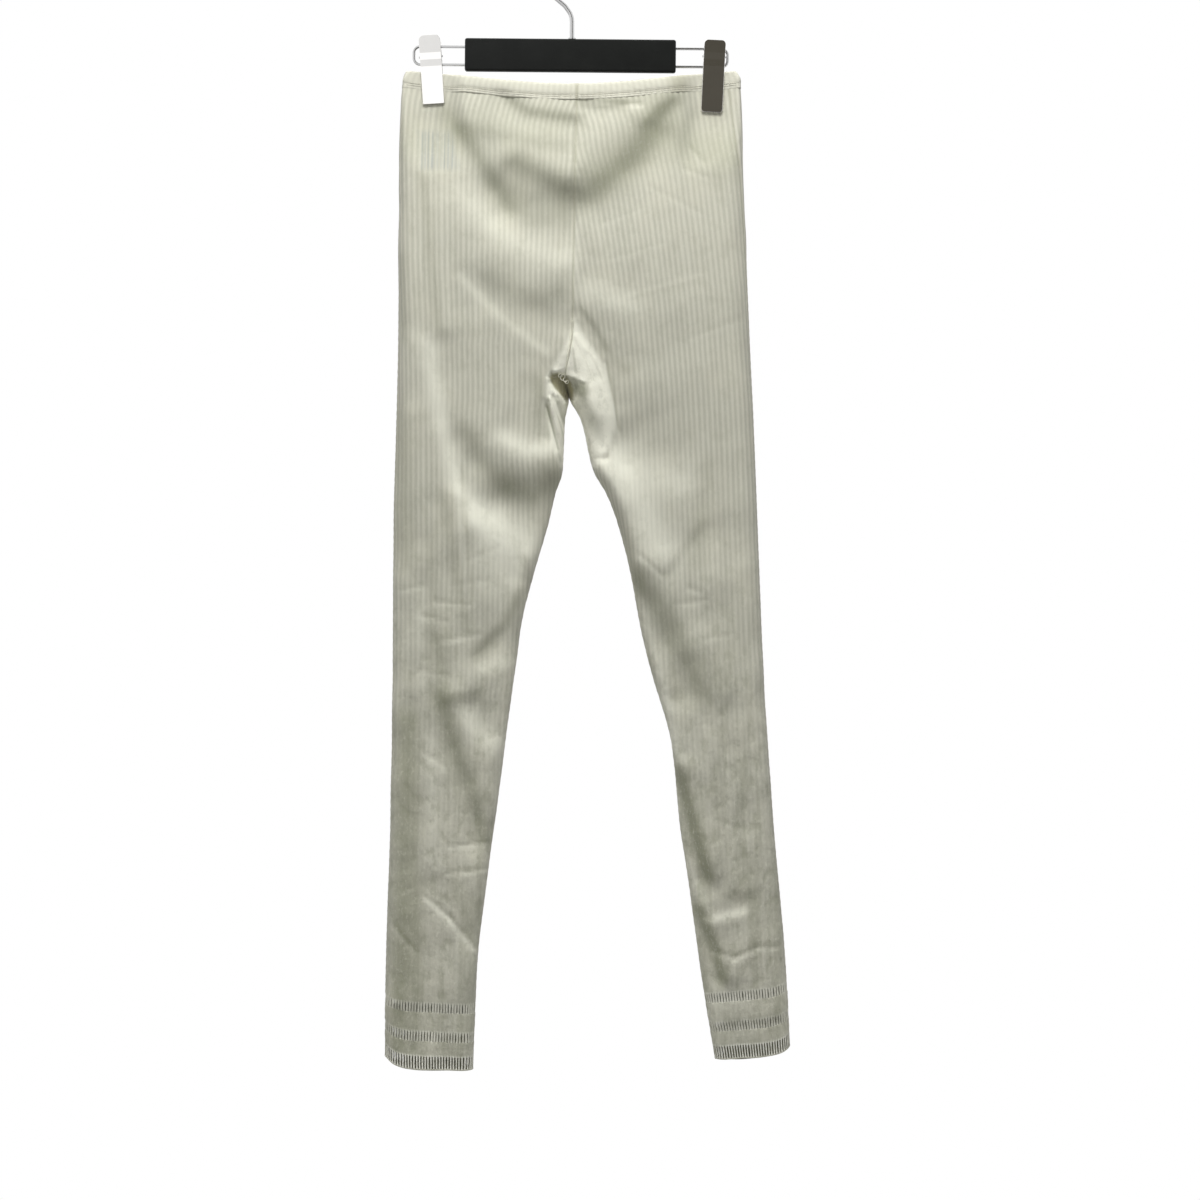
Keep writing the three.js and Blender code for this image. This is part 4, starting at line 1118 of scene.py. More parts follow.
def close_ladders(wall, out, inn, open_below, bars):
    """Faces of the lowest rows, with the gaps between the bars left open and walled."""
    gap_column = np.zeros(out.shape[1] - 1, bool)
    for bar in range(bars):
        first = len(END_COLUMNS) + 4 * bar
        gap_column[[first, first + 3]] = True
    hole = np.outer(open_below, gap_column)
    for r, c in np.argwhere(~hole):
        wall.faces.append([out[r, c], out[r, c + 1], out[r + 1, c + 1], out[r + 1, c]])
        wall.faces.append([inn[r + 1, c], inn[r + 1, c + 1], inn[r, c + 1], inn[r, c]])
    for r, c in np.argwhere(hole):
        if not hole[r, c - 1]:
            wall.faces.append([out[r + 1, c], out[r, c], inn[r, c], inn[r + 1, c]])
        if not hole[r, c + 1]:
            wall.faces.append([out[r, c + 1], out[r + 1, c + 1], inn[r + 1, c + 1], inn[r, c + 1]])
        if not hole[r - 1, c]:
            wall.faces.append([out[r, c], out[r, c + 1], inn[r, c + 1], inn[r, c]])
        if not hole[r + 1, c]:
            wall.faces.append([out[r + 1, c + 1], out[r + 1, c], inn[r + 1, c], inn[r + 1, c + 1]])


print("rows of a leg:", len(upper_rows(LEFT)) + len(ladder_rows()))

# %% [markdown]
# The four panels.
# Front and back of each leg are cut separately and sewn at the side seam and the inseam. Each
# panel here is one thin wall, so a seam is where two pieces meet, as on the real thing.

# %% Leg panels
SIDE_ALLOWANCE, WAIST_ALLOWANCE = 0.012, 0.01
WIDEST_ROWS = (-200, -300, -380)


def shade(made, degrees=50):
    select_only(made)
    bpy.ops.object.shade_smooth_by_angle(angle=math.radians(degrees))


def dress(made, slot, *nodes):
    """The piece rides on the one body and stands for its solids, which are hidden. The slot is not used."""
    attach(made, "root")
    if nodes:
        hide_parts(*nodes)
    print(made.name, len(made.data.polygons), "faces")
    return made


for half in (LEFT, RIGHT):
    wide = max(Section(half, z).length for z in WIDEST_ROWS) * MM / 2 + SIDE_ALLOWANCE
    for layer in ("front", "back"):
        name = f"{layer}_{half['name']}"
        wall, area = panel(half, layer)
        made = facing_out(wall.piece(f"{name}_panel", CLOTH))
        shade(made)
        dress(made, "ribbed_cloth", f"{name}_leg")

# %% [markdown]
# The waistband.
# A strip of the same knit is folded over elastic and stitched down, so it is thicker, rounded
# at the top and gathered a little. Its profile is taken round the waist, and the two rows of
# stitches at its foot are real small loops of thread.

# %% Waistband
# Height above the band's foot, and how far out, in millimetres, up the outside and down inside.
BAND_PROFILE = [
    (-0.9, -1.2), (-1.1, -0.5), (-0.9, 0.25), (-0.2, 0.62), (0.9, 0.5), (1.9, 0.34), (2.9, 0.5),
    (3.9, 0.38), (4.9, 0.75), (6.4, 1.02), (8.4, 1.12), (10.4, 1.1), (12.4, 0.98), (13.9, 0.72),
    (14.9, 0.28), (15.5, -0.35), (15.6, -0.9), (15.1, -1.55), (13.4, -1.85), (9.0, -1.9), (4.0, -1.85),
    (0.5, -1.75), (-0.6, -1.6),
]
BAND_RIB, GATHER, LEAST_OUT = 0.26, 0.10, 0.12
# Place, width and strength of a painted shadow on the front of the band, left of the right clip.
BAND_SHADE_X, BAND_SHADE_WIDE, BAND_SHADE = 101, 11, 1.1
JOINT_DEEP, JOINT_LIP = 0.55, 0.22


def waist_line(height, count):
    """Places, normals and looseness round the waist, from the front middle and back to it."""
    z_row = BAND_BOTTOM + height
    left, right = Section(LEFT, z_row), Section(RIGHT, z_row)
    total = left.length + right.length
    along = np.arange(count) / count * total
    points, normals, loose = np.zeros((count, 3)), np.zeros((count, 3)), np.zeros(count)
    for ring, half, mine, length in (
        (left, LEFT, along <= left.length, along),
        (right, RIGHT, along > left.length, total - along),
    ):
        points[mine] = ring.at(length[mine])
        normals[mine] = ring.normal(length[mine])
        loose[mine] = 1 - pressed(half, points[mine, 0], points[mine, 2])
    return points, normals, loose, along, total


def band():
    wall = Wall()
    total = waist_line(0, 4)[4]
    ribs = round(total / RIBS.smooth("pitch", BAND_BOTTOM))
    count = ribs * COLUMNS_PER_RIB
    runs = []
    for k, (height, out) in enumerate(BAND_PROFILE):
        points, normals, loose, along, total = waist_line(height, count)
        across = along / total * ribs
        outer = float(out > -0.5)
        swell = float(0 < out) * (1 if height > 4 else 0.55)
        gather = GATHER * np.sin(along / 1.9 + 2.2 * np.sin(along / 23)) * np.sin(along / 31 + 1)
        relief = swell * (BAND_RIB * (0.5 - 0.5 * np.cos(2 * np.pi * across)) + gather)
        joint = np.minimum(np.minimum(along, total - along), np.abs(along - total / 2))
        dent = JOINT_DEEP * np.exp(-(joint / 0.9) ** 2) - JOINT_LIP * np.exp(-((joint - 2.3) / 1.1) ** 2)
        relief = relief - outer * dent
        depth = lerp(min(out, LEAST_OUT) if out > 0 else out, out, loose)
        # Painted shadow on the front of the band, carried in the seam mark with the joint.
        band_shadow = BAND_SHADE * np.exp(-((points[:, 0] - BAND_SHADE_X) / BAND_SHADE_WIDE) ** 2)
        seam = np.exp(-(joint / 1.8) ** 2) + band_shadow * (points[:, 1] < 0)
        place = points + normals * (depth + relief * loose)[:, None]
        runs.append(wall.run(place, across, k * 0.12, inside=1.0 - outer, seam=seam))
    for up, down in zip(runs, runs[1:] + runs[:1]):
        for j in range(count):
            n = (j + 1) % count
            wall.faces.append([up[j], up[n], down[n], down[j]])
    return wall, total


wall, waist = band()
waistband = facing_out(wall.piece("waistband_cloth", BAND))
shade(waistband, 60)
dress(waistband, "band_cloth", "waistband")
print("waist", round(waist), "mm round")

# %% Stitches of the waistband
STITCH_HEIGHTS = (1.9, 3.9)
STITCH_PITCH, STITCH_LONG, STITCH_THICK = 2.6, 2.3, 0.27
STITCH_START, STITCH_PROUD = 0.06, 0.16


def stitch_shape(sides=6):
    """A stitch lying along X: a short rope end to end, 1 long, thin at both ends."""
    rings = [(-0.5, 0.35), (-0.36, 0.9), (0, 1.0), (0.36, 0.9), (0.5, 0.35)]
    turn = 2 * np.pi * np.arange(sides) / sides
    points = np.array([(x, r * math.cos(a), r * math.sin(a)) for x, r in rings for a in turn])
    faces = []
    for i in range(len(rings) - 1):
        for k in range(sides):
            n = (k + 1) % sides
            faces.append([i * sides + k, i * sides + n, (i + 1) * sides + n, (i + 1) * sides + k])
    last = (len(rings) - 1) * sides
    faces += [list(range(sides))[::-1], [last + k for k in range(sides)]]
    return points, faces


def sewn(wall, starts, ends, normals, thick):
    """Adds a stitch for each pair of ends, lying on the cloth."""
    shape, faces = stitch_shape()
    for start, end, normal in zip(starts, ends, normals):
        along = end - start
        long = np.linalg.norm(along)
        along = along / long
        side = np.cross(normal, along)
        side /= np.linalg.norm(side)
        up = np.cross(along, side)
        middle = (start + end) / 2 + up * thick * 0.4
        place = middle + shape[:, :1] * long * along + thick * (shape[:, 1:2] * side + shape[:, 2:] * up)
        run = wall.run(place, shape[:, 1] * 0.5, 0.0)
        wall.maps[-1][:, 1] = shape[:, 0] * 0.3
        wall.faces += [[int(run[v]) for v in face] for face in faces]


wall = Wall()
facing = BAND_PROFILE[3:8]
for height in STITCH_HEIGHTS:
    count = round(waist / STITCH_PITCH)
    points, normals, loose, along, total = waist_line(height, count)
    out = np.interp(height, [h for h, _ in facing], [o for _, o in facing])
    place = points + normals * (lerp(0.1, out, loose) + STITCH_PROUD * loose)[:, None]
    ahead = np.roll(place, -1, axis=0)
    reach = STITCH_LONG / STITCH_PITCH
    sewn(wall, lerp(place, ahead, STITCH_START), lerp(place, ahead, reach), normals, STITCH_THICK)
stitches = facing_out(wall.piece("waistband_stitches", THREAD))
shade(stitches, 80)
dress(stitches, "band_cloth")
waist * MM
print("stitches:", 2 * count)

# %% [markdown]
# The tag.
# A short ribbon is caught in the left side seam and hangs between the layers. It stays blank.
# A grid is bent by moving its points, then a Solidify modifier gives the ribbon its thickness.


# %% Helpers for pieces made with operators
def start(add, **settings):
    """Adds a primitive with nothing else selected and returns it."""
    bpy.ops.object.select_all(action="DESELECT")
    add(**settings)
    return bpy.context.object


def modify(made, kind, **settings):
    """Adds a modifier, sets it and applies it."""
    select_only(made)
    modifier = made.modifiers.new(kind.title(), kind)
    for key, value in settings.items():
        setattr(modifier, key, value)
    bpy.ops.object.modifier_apply(modifier=modifier.name)


def settle(made, name, finish, place=(0, 0, 0), turn_y=0.0, smooth=40):
    """Names the piece, gives it its material and puts its place into its mesh."""
    made.name = made.data.name = name
    made.location = [c * MM for c in place]
    made.rotation_euler = (0, turn_y, 0)
    select_only(made)
    bpy.ops.object.transform_apply(location=True, rotation=True, scale=True)
    made.data.materials.clear()
    made.data.materials.append(finish)
    shade(made, smooth)
    return made


def choose(made, test):
    """In edit mode, selects the vertices whose place passes a test, and what lies between them."""
    bpy.ops.object.mode_set(mode="EDIT")
    bpy.ops.mesh.select_mode(type="VERT")
    bpy.ops.mesh.select_all(action="DESELECT")
    bpy.ops.object.mode_set(mode="OBJECT")
    for vertex in made.data.vertices:
        vertex.select = bool(test(vertex.co / MM))
    bpy.ops.object.mode_set(mode="EDIT")


print("a piece starts as a primitive, then:", [step.__name__ for step in (modify, choose, settle)])


# %% Tag
LABEL_TOP, LABEL_BOTTOM, LABEL_LONG, LABEL_THICK, LABEL_BOW = -167, -203, 52, 0.5, 1.2
LABEL_CLEAR, LABEL_SAG = 0.9, 0.8


def ribbon_finish():
    finish = Finish("tag_ribbon", sheen_weight=0.2, specular_ior_level=0.4)
    across, _, up = finish.split(finish.place())
    weave = (up * 2600).wave() * 0.6 + (across * 1700).wave() * 0.4
    fine = finish.noise(finish.place(), 700, 2)
    colour = finish.mix(weave * 0.35 + fine * 0.3, (0.86, 0.86, 0.82), (0.66, 0.67, 0.66))
    finish.set(base_color=colour, roughness=0.45 + 0.2 * fine, normal=finish.bump(weave, 0.0001))
    return finish.material


label_start = OUTLINE.smooth("left", (LABEL_TOP + LABEL_BOTTOM) / 2) + WALL + LABEL_CLEAR
tag = start(bpy.ops.mesh.primitive_grid_add, x_subdivisions=30, y_subdivisions=20, size=1)
for vertex in tag.data.vertices:
    share, tall = vertex.co.x + 0.5, vertex.co.y + 0.5
    bow = LABEL_BOW * math.sin(math.pi * share) + 0.5 * share * math.sin(4 * tall + 1)
    z = lerp(LABEL_BOTTOM, LABEL_TOP, tall) - LABEL_SAG * share
    vertex.co = Vector((label_start + LABEL_LONG * share, bow - 0.3, z)) * MM
modify(tag, "SOLIDIFY", thickness=LABEL_THICK * MM, offset=0)
modify(tag, "BEVEL", width=0.15 * MM, segments=2, limit_method="ANGLE")
facing_out(settle(tag, "tag", ribbon_finish()))
dress(tag, "tag", "care_label")

# %% [markdown]
# The hanger's finishes.
# The bar is matt moulded plastic with a fine grain and a few pale rubs. The wire and the clips
# are plated steel: bright, with faint drawn lines and small dull spots in the plating.


# %% Hanger finishes
def moulded_plastic():
    finish = Finish("black_plastic", specular_ior_level=0.12)
    grain = finish.noise(finish.place(), 1500, 2, 0.6)
    cloud = finish.noise(finish.place(), 45, 4, 0.6)
    scuffs = finish.noise(finish.stretched((12, 60, 160)), 6, 4, 0.7).between(0.62, 0.78)
    colour = finish.mix(cloud, (0.008, 0.0085, 0.008), (0.014, 0.015, 0.014))
    colour = finish.mix(scuffs * 0.4, colour, (0.04, 0.04, 0.038))
    finish.set(
        base_color=colour, roughness=0.42 + 0.16 * grain + 0.14 * scuffs,
        normal=finish.bump(grain + 0.5 * cloud, 0.00008, 0.7),
    )
    return finish.material


def plated_steel(name, colour, band_shadow, lines):
    finish = Finish(name, metallic=1.0)
    drawn = finish.noise(finish.stretched(lines), 1.0, 3, 0.6)
    spots = finish.noise(finish.place(), 320, 4, 0.7).between(0.66, 0.8)
    cloud = finish.noise(finish.place(), 60, 3)
    tint = finish.mix(cloud * 0.4 + spots * 0.5, colour, tuple(0.72 * c for c in colour))
    finish.set(
        base_color=tint, roughness=band_shadow + 0.08 * drawn + 0.16 * spots,
        normal=finish.bump(drawn + spots * 0.6, 0.00003, 0.5),
    )
    return finish.material


PLASTIC = moulded_plastic()
WIRE_STEEL = plated_steel("bright_wire", (0.50, 0.50, 0.50), 0.14, (220, 900, 900))
JAW_STEEL = plated_steel("bright_jaw", (0.82, 0.81, 0.79), 0.03, (1400, 1400, 60))
print("hanger finishes:", PLASTIC.name, WIRE_STEEL.name, JAW_STEEL.name)

# %% [markdown]
# The bar.
# It starts as a cube stretched to size. Its edges are bevelled, a narrow band round its middle
# is pushed in as the line where the two halves of the mould met, and holes are cut for the wires.

# %% Bar
BAR_FROM, BAR_TO, BAR_TOP, BAR_TALL, BAR_THICK = -101.6, 98.8, -75.2, 31, 8
HOOK_WIRE, HOOK_FOOT, LOOP_WIRE, LOOP_UPPER, LOOP_LOWER = 2.2, -80.2, 1.3, -83.2, -100.3
HANGER_LEAN = math.radians(0.5)
LEAN_SHIFT = -BAR_TOP * math.sin(HANGER_LEAN)
BAR_EDGE, PARTING_HALF, PARTING_DEEP, BORE_CLEAR = 2.1, 0.22, 0.3, 0.35
bar = start(bpy.ops.mesh.primitive_cube_add, size=1)
bar.scale = ((BAR_TO - BAR_FROM) * MM, BAR_THICK * MM, BAR_TALL * MM)
bpy.ops.object.transform_apply(location=False, rotation=False, scale=True)
modify(bar, "BEVEL", width=BAR_EDGE * MM, segments=6)
bpy.ops.object.mode_set(mode="EDIT")
for y in (-PARTING_HALF, PARTING_HALF):
    bpy.ops.mesh.select_all(action="SELECT")
    bpy.ops.mesh.bisect(plane_co=(0, y * MM, 0), plane_no=(0, 1, 0))
bpy.ops.object.mode_set(mode="OBJECT")
choose(bar, lambda p: abs(p.y) < 0.3)
bpy.ops.mesh.extrude_region_shrink_fatten(TRANSFORM_OT_shrink_fatten={"value": -PARTING_DEEP * MM})
bpy.ops.object.mode_set(mode="OBJECT")
bar_middle = (BAR_FROM + BAR_TO) / 2, BAR_TOP - BAR_TALL / 2


def cut_round(made, radius, depth, place, turn):
    """Cuts a round hole with a cylinder."""
    cutter = start(
        bpy.ops.mesh.primitive_cylinder_add, vertices=28, radius=radius * MM, depth=depth * MM,
        location=[c * MM for c in place], rotation=turn,
    )
    modify(made, "BOOLEAN", object=cutter, operation="DIFFERENCE", solver="EXACT")
    bpy.data.objects.remove(cutter)


for z in (LOOP_UPPER, LOOP_LOWER):
    for end in (-1, 1):
        half_long = (BAR_TO - BAR_FROM) / 2
        place = (end * half_long, 0, z - bar_middle[1])
        cut_round(bar, LOOP_WIRE + BORE_CLEAR, 16, place, (0, math.pi / 2, 0))
cut_round(bar, HOOK_WIRE + BORE_CLEAR, 9, (-bar_middle[0] - LEAN_SHIFT, 0, BAR_TALL / 2), (0, 0, 0))
for vertex in bar.data.vertices:
    vertex.co += Vector((bar_middle[0], 0, bar_middle[1])) * MM
settle(bar, "bar", PLASTIC, (LEAN_SHIFT, 0, 0), HANGER_LEAN, 30)
dress(bar, "black_plastic", "hanger_bar")

# %% [markdown]
# The wires.
# A bent wire is a line with a thickness, so each one is a curve with a round bevel, made a mesh
# once its bends are right. The hook's neck is all that the photograph shows; the rest is the
# usual round hook with a rounded tip.


# %% Wires
def bent_wire(name, points, radius, closed=False, tip=False, sides=5):
    """A curve through points in millimetres, turned into a tube mesh."""
    data = bpy.data.curves.new(name, "CURVE")
    data.dimensions = "3D"
    data.bevel_depth, data.bevel_resolution, data.use_fill_caps = radius * MM, sides, not closed
    spline = data.splines.new("POLY")
    spline.points.add(len(points) - 1)
    spline.use_cyclic_u = closed
    for number, (target, point) in enumerate(zip(spline.points, points)):
        target.co = (*(c * MM for c in point), 1)
        left = len(points) - 1 - number
        target.radius = (0.35, 0.72, 0.92, 1)[min(left, 3)] if tip else 1
    made = bpy.data.objects.new(name, data)
    bpy.context.scene.collection.objects.link(made)
    select_only(made)
    bpy.ops.object.convert(target="MESH")
    return facing_out(bpy.context.object)


def arc(x, z, radius, first, last, steps):
    """Points on an arc in the XZ plane, between two angles in degrees."""
    turns = np.radians(np.linspace(first, last, steps + 1))
    return [(x + radius * math.cos(t), 0, z + radius * math.sin(t)) for t in turns]


LOOP_FROM, LOOP_TO, LOOP_CORNER = -150, 148, 6
loop_points = (
    arc(LOOP_TO - LOOP_CORNER, LOOP_LOWER + LOOP_CORNER, LOOP_CORNER, -90, 0, 12)
    + arc(LOOP_TO - LOOP_CORNER, LOOP_UPPER - LOOP_CORNER, LOOP_CORNER, 0, 90, 12)
    + arc(LOOP_FROM + LOOP_CORNER, LOOP_UPPER - LOOP_CORNER, LOOP_CORNER, 90, 180, 12)
    + arc(LOOP_FROM + LOOP_CORNER, LOOP_LOWER + LOOP_CORNER, LOOP_CORNER, 180, 270, 12)
)
loop = bent_wire("loop_wire", loop_points, LOOP_WIRE, closed=True)
settle(loop, "loop_wire", WIRE_STEEL, (LEAN_SHIFT, 0, 0), HANGER_LEAN, 60)
dress(loop, "bright_wire", "wire_loop")

HOOK_INSIDE, HOOK_BEND = 20, -51.1
hook_turn = HOOK_INSIDE + HOOK_WIRE
neck = [(0, 0, HOOK_FOOT), (0, 0, HOOK_BEND - 7), (-0.25, 0, HOOK_BEND - 4), (-0.9, 0, HOOK_BEND - 1.6)]
neck += [(-1.9, 0, HOOK_BEND + 0.9), (-3.4, 0, HOOK_BEND + 3.2), (-6.6, 0, HOOK_BEND + 7.6)]
round_part = arc(0, -HOOK_INSIDE, hook_turn, 225, -15, 60)
hook = bent_wire("hook_wire", neck + round_part, HOOK_WIRE, tip=True, sides=7)
settle(hook, "hook_wire", WIRE_STEEL, smooth=60)
dress(hook, "bright_wire", "hook")

collar = start(bpy.ops.mesh.primitive_cylinder_add, vertices=40, radius=3.9 * MM, depth=1.6 * MM)
modify(collar, "BEVEL", width=0.5 * MM, segments=3, limit_method="ANGLE")
settle(collar, "hook_collar", WIRE_STEEL, (0, 0, BAR_TOP + 0.5), 0, 40)
dress(collar, "bright_wire")

# %% [markdown]
# The crotch seam.
# Where the four panels meet, the overlock seam shows as a pale cord over the smooth piece, and a
# few loose loops of its thread hang at the arch. They are bent wires of thread.

# %% Crotch seam
CORD_TOP, CORD_END, CORD_THICK = -344, -411, 0.7
THREAD_FINE, LOOP_STRETCH, LOOP_TURN = 0.42, 1.2, 1.5
# Loose loops: pixel across, pixel down, size in millimetres and how far the loop is turned.
LOOPS = [(563, 379, 2.3, 0.3), (565.5, 381, 1.8, 1.4), (560.5, 377.5, 1.6, -0.7), (567, 383, 1.5, 2.3)]


def overlock_thread():
    finish = Finish("overlock_thread", sheen_weight=0.3, specular_ior_level=0.3)
    across, _, up = finish.split(finish.place())
    stitches = (up * 800 + across * 300).wave()
    fine = finish.noise(finish.place(), 1200, 2)
    colour = finish.mix(stitches * 0.6 + fine * 0.3, (0.60, 0.585, 0.45), (0.90, 0.89, 0.77))
    finish.set(base_color=colour, roughness=0.6 + 0.2 * fine, normal=finish.bump(stitches + fine, 0.0002))
    return finish.material


OVERLOCK = overlock_thread()
cord = [Section(LEFT, z).line[0] for z in np.arange(CORD_TOP, CORD_END, -1.5)]
for point in cord:
    point[1] += DIP_DEEP * on_patch(DIP_PATCH, "front", point[:1], point[2:], DIP_SOFT)[0] - 0.5
cord_piece = settle(bent_wire("crotch_seam", cord, CORD_THICK, sides=3), "crotch_seam", OVERLOCK, smooth=60)
dress(cord_piece, "ribbed_cloth")
loose = []
for px, py, size, turn in LOOPS:
    x, z = from_photo(px, py)
    depth = Section(LEFT, z).at(np.array([4.0]))[0, 1] - 1.6
    loop_line = []
    for t in np.linspace(0, math.pi, 14):
        angle = t * LOOP_TURN + turn
        tall = size * LOOP_STRETCH * math.sin(angle)
        loop_line.append((x + size * math.cos(angle), depth - 0.8 * math.sin(t), z + tall))
    loose.append(bent_wire("loop", loop_line, THREAD_FINE, sides=2))
bpy.ops.object.select_all(action="DESELECT")
for made in loose:
    made.select_set(True)
bpy.context.view_layer.objects.active = loose[0]
bpy.ops.object.join()
dress(settle(loose[0], "crotch_threads", OVERLOCK, smooth=60), "ribbed_cloth")

# %% [markdown]
# The clips.
# Each clip is two pressed plates that pinch the cloth, with a coiled spring between them. A
# plate starts as one narrow face. Its upper edge is extruded along the bends of the real plate,
# the corners are rounded, and Solidify and Bevel make it steel.

# %% Clips
JAW_WIDE, JAW_THICK, SPRING_Z = 20.5, 1.3, -91.7
JAW_BENDS = [(2.35, -107.5), (2.15, -101), (3.8, -95), (3.8, -88.4)]
LEVER_OUT = 8.2
CLIPS = [
    dict(name="left", x=-133.5, top=-72.6, bottom=-137, lean=3.6, top_corner=5, bottom_corner=1.2),
    dict(name="right", x=134.7, top=-77.2, bottom=-145, lean=-2.75, top_corner=4, bottom_corner=3),
]


def jaw(clip, way):
    """One plate: extruded upwards along its bends, way is -1 for the front one."""
    wide, low = JAW_WIDE / 2 * MM, LOOP_LOWER
    bends = [(2.35, clip["bottom"]), *JAW_BENDS, (LEVER_OUT, clip["top"])]
    (y0, z0), (y1, z1) = bends[:2]
    made = start(bpy.ops.mesh.primitive_plane_add, size=1)
    corners = [(-wide, y0, z0), (wide, y0, z0), (-wide, y1, z1), (wide, y1, z1)]
    for vertex, (x, y, z) in zip(made.data.vertices, corners):
        vertex.co = (x, way * y * MM, (z - low) * MM)
    for (y_from, z_from), (y_to, z_to) in zip(bends[1:], bends[2:]):
        choose(made, lambda p: p.z > z_from - low - 0.01)
        move = (0, way * (y_to - y_from) * MM, (z_to - z_from) * MM)
        bpy.ops.mesh.extrude_region_move(TRANSFORM_OT_translate={"value": move})
        bpy.ops.object.mode_set(mode="OBJECT")
    for height, radius in ((clip["top"], clip["top_corner"]), (clip["bottom"], clip["bottom_corner"])):
        choose(made, lambda p: abs(p.z - (height - low)) < 0.01)
        bpy.ops.mesh.bevel(offset=radius * MM, segments=7, affect="VERTICES")
        bpy.ops.object.mode_set(mode="OBJECT")
    modify(made, "SOLIDIFY", thickness=JAW_THICK * MM, offset=1 if outward(made, way) else -1)
    modify(made, "BEVEL", width=0.28 * MM, segments=3, limit_method="ANGLE", angle_limit=math.radians(50))
    return made


def outward(made, way):
    return way * sum(face.normal.y * face.area for face in made.data.polygons) > 0


def coil():
    """The spring between the plates: turns round a pin, and two legs that press the levers apart."""
    turns, radius, wire, half_long = 7, 2.75, 0.55, 6.4
    steps = np.linspace(0, 1, turns * 18 + 1)
    low = LOOP_LOWER
    around = [
        (lerp(-half_long, half_long, s), radius * math.cos(2 * math.pi * turns * s),
         SPRING_Z - low + radius * math.sin(2 * math.pi * turns * s)) for s in steps
    ]
    leg = SPRING_Z - low + 9.5
    first = [(-half_long, 6.3, leg), (-half_long, radius + 0.2, SPRING_Z - low + 1.6)]
    last = [(half_long, radius + 0.1, SPRING_Z - low + 1.2), (half_long, 6.3, leg)]
    return bent_wire("coil", first + around + last, wire, sides=3)


for clip in CLIPS:
    place = dict(place=(clip["x"], 0, LOOP_LOWER), turn_y=math.radians(-clip["lean"]))
    for side, way in (("front", -1), ("back", 1)):
        plate = settle(jaw(clip, way), f"{clip['name']}_clip_{side}", JAW_STEEL, smooth=14, **place)
        dress(facing_out(plate), "bright_jaw", f"{clip['name']}_clip_{side}_jaw")
    spring = coil()
    pin = start(
        bpy.ops.mesh.primitive_cylinder_add, vertices=20, radius=1.0 * MM, depth=22.6 * MM,
        location=(0, 0, (SPRING_Z - LOOP_LOWER) * MM), rotation=(0, math.pi / 2, 0),
    )
    modify(pin, "BEVEL", width=0.3 * MM, segments=2, limit_method="ANGLE")
    select_only(pin)
    spring.select_set(True)
    bpy.context.view_layer.objects.active = spring
    bpy.ops.object.join()
    settle(spring, f"{clip['name']}_clip_coil", WIRE_STEEL, smooth=50, **place)
    dress(spring, "bright_wire", f"{clip['name']}_clip_spring")

# %% [markdown]
# Floor, light and air.
# The photograph has a plain white ground. A wide pale floor and a white world give it. Light
# comes from above and in front, so it falls off towards the hems, and a soft even light from
# all round keeps the folds open. A dark card in front, seen only in reflections, gives the
# right clip the dark face that it has in the photograph.

# %% World
WHITE = (1, 1, 1)
IN_MIRRORS = 0.35


def shown_or_mirrored(net):
    """1 for what the camera or a mirror sees, and 0 for light that only falls on things."""
    shown = net.node("ShaderNodeLightPath", out="Is Camera Ray")
    return shown.maths("MAXIMUM", net.node("ShaderNodeLightPath", out="Is Glossy Ray"))


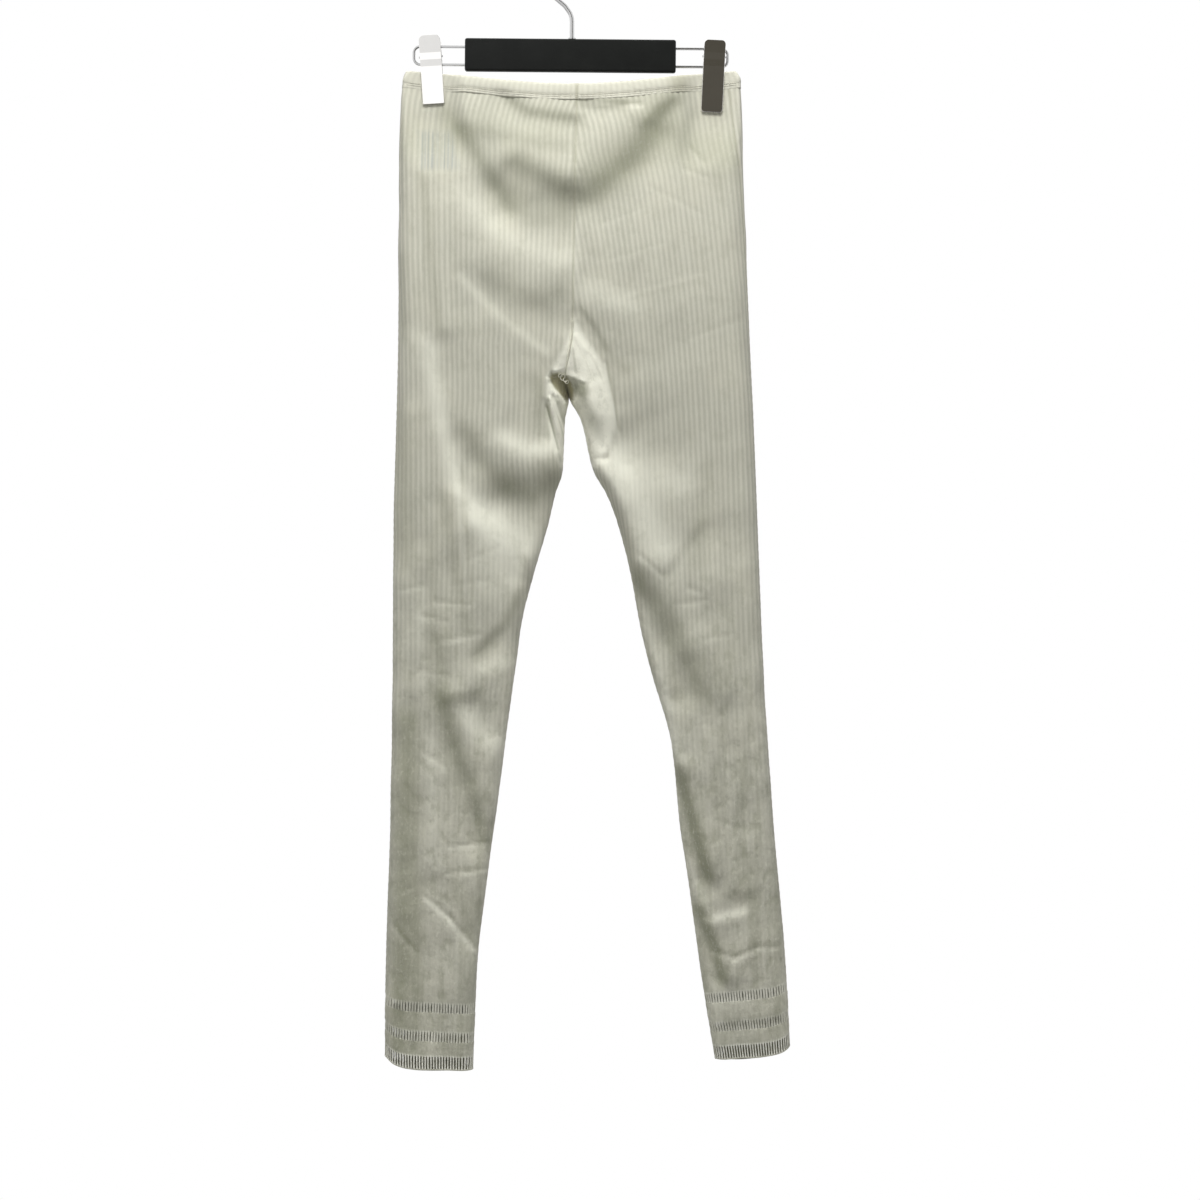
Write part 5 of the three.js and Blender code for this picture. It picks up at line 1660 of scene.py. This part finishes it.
world = bpy.data.worlds.new("studio")
bpy.context.scene.world = world
world.use_nodes = True
world.node_tree.nodes.clear()
sky = Net(world.node_tree)
from_above = sky.node("ShaderNodeMapRange", {
    "Value": sky.split(sky.node("ShaderNodeTexCoord"))[2],
    "From Min": -0.5, "From Max": 0.7, "To Min": 0.15, "To Max": 0.40,
})
brightness = sky.node("ShaderNodeLightPath", out="Is Glossy Ray") * IN_MIRRORS + 1.0
both = sky.node("ShaderNodeMixShader", {
    0: shown_or_mirrored(sky),
    1: sky.node("ShaderNodeBackground", {"Strength": from_above}),
    2: sky.node("ShaderNodeBackground", {"Color": WHITE, "Strength": brightness}),
})
sky.link(world.node_tree.nodes.new("ShaderNodeOutputWorld").inputs[0], both)
print("the world has", len(world.node_tree.nodes), "nodes")

# %% Floor and card
FLOOR_Z = -1.17
floor = start(bpy.ops.mesh.primitive_plane_add, size=14, location=(0, 0, FLOOR_Z))
floor.name = "floor"
pale = Finish("pale_floor", base_color=(0.5, 0.5, 0.5), roughness=0.9)
ground = pale.node("ShaderNodeMixShader", {
    0: shown_or_mirrored(pale), 1: Value(pale, pale.shader.outputs[0]),
    2: pale.node("ShaderNodeEmission", {"Color": WHITE, "Strength": 1.0}),
})
pale.link(pale.tree.nodes["Material Output"].inputs[0], ground)
floor.data.materials.append(pale.material)

card = start(
    bpy.ops.mesh.primitive_plane_add, size=1, location=(0.32, -1.0, 0.2), rotation=(math.pi / 2, 0, 0),
)
card.name, card.scale = "dark_card", (0.66, 2.6, 1)
dark = Finish(
    "dark_card", base_color=(0, 0, 0), emission_color=(0.060, 0.052, 0.035), emission_strength=1.0,
)
card.data.materials.append(dark.material)
card.visible_camera = card.visible_diffuse = card.visible_shadow = False
print("floor at", FLOOR_Z, "m, card", round(-card.location.y, 2), "m in front")


# %% Lights
def soft_light(name, place, aim, size, power):
    data = bpy.data.lights.new(name, "AREA")
    data.shape, data.size, data.size_y, data.energy = "RECTANGLE", size[0], size[1], power
    made = bpy.data.objects.new(name, data)
    made.location = place
    made.rotation_euler = (Vector(aim) - Vector(place)).to_track_quat("-Z", "Y").to_euler()
    bpy.context.scene.collection.objects.link(made)
    return made


lamps = [
    soft_light("key", (0.05, -0.66, 1.10), (0.0, 0, -0.30), (1.0, 0.4), 31),
    soft_light("side", (-1.1, -0.9, 0.2), (0.0, 0, -0.4), (0.5, 1.2), 2.5),
    soft_light("behind", (-0.4, 1.3, 0.6), (0.0, 0, -0.4), (1.2, 0.6), 13),
]
for lamp in lamps:
    lamp.visible_glossy = False
view = bpy.context.scene.view_settings
view.view_transform, view.look, view.exposure, view.gamma = "Standard", "None", 0, 1
print("lights:", [(lamp.name, lamp.data.energy) for lamp in lamps])
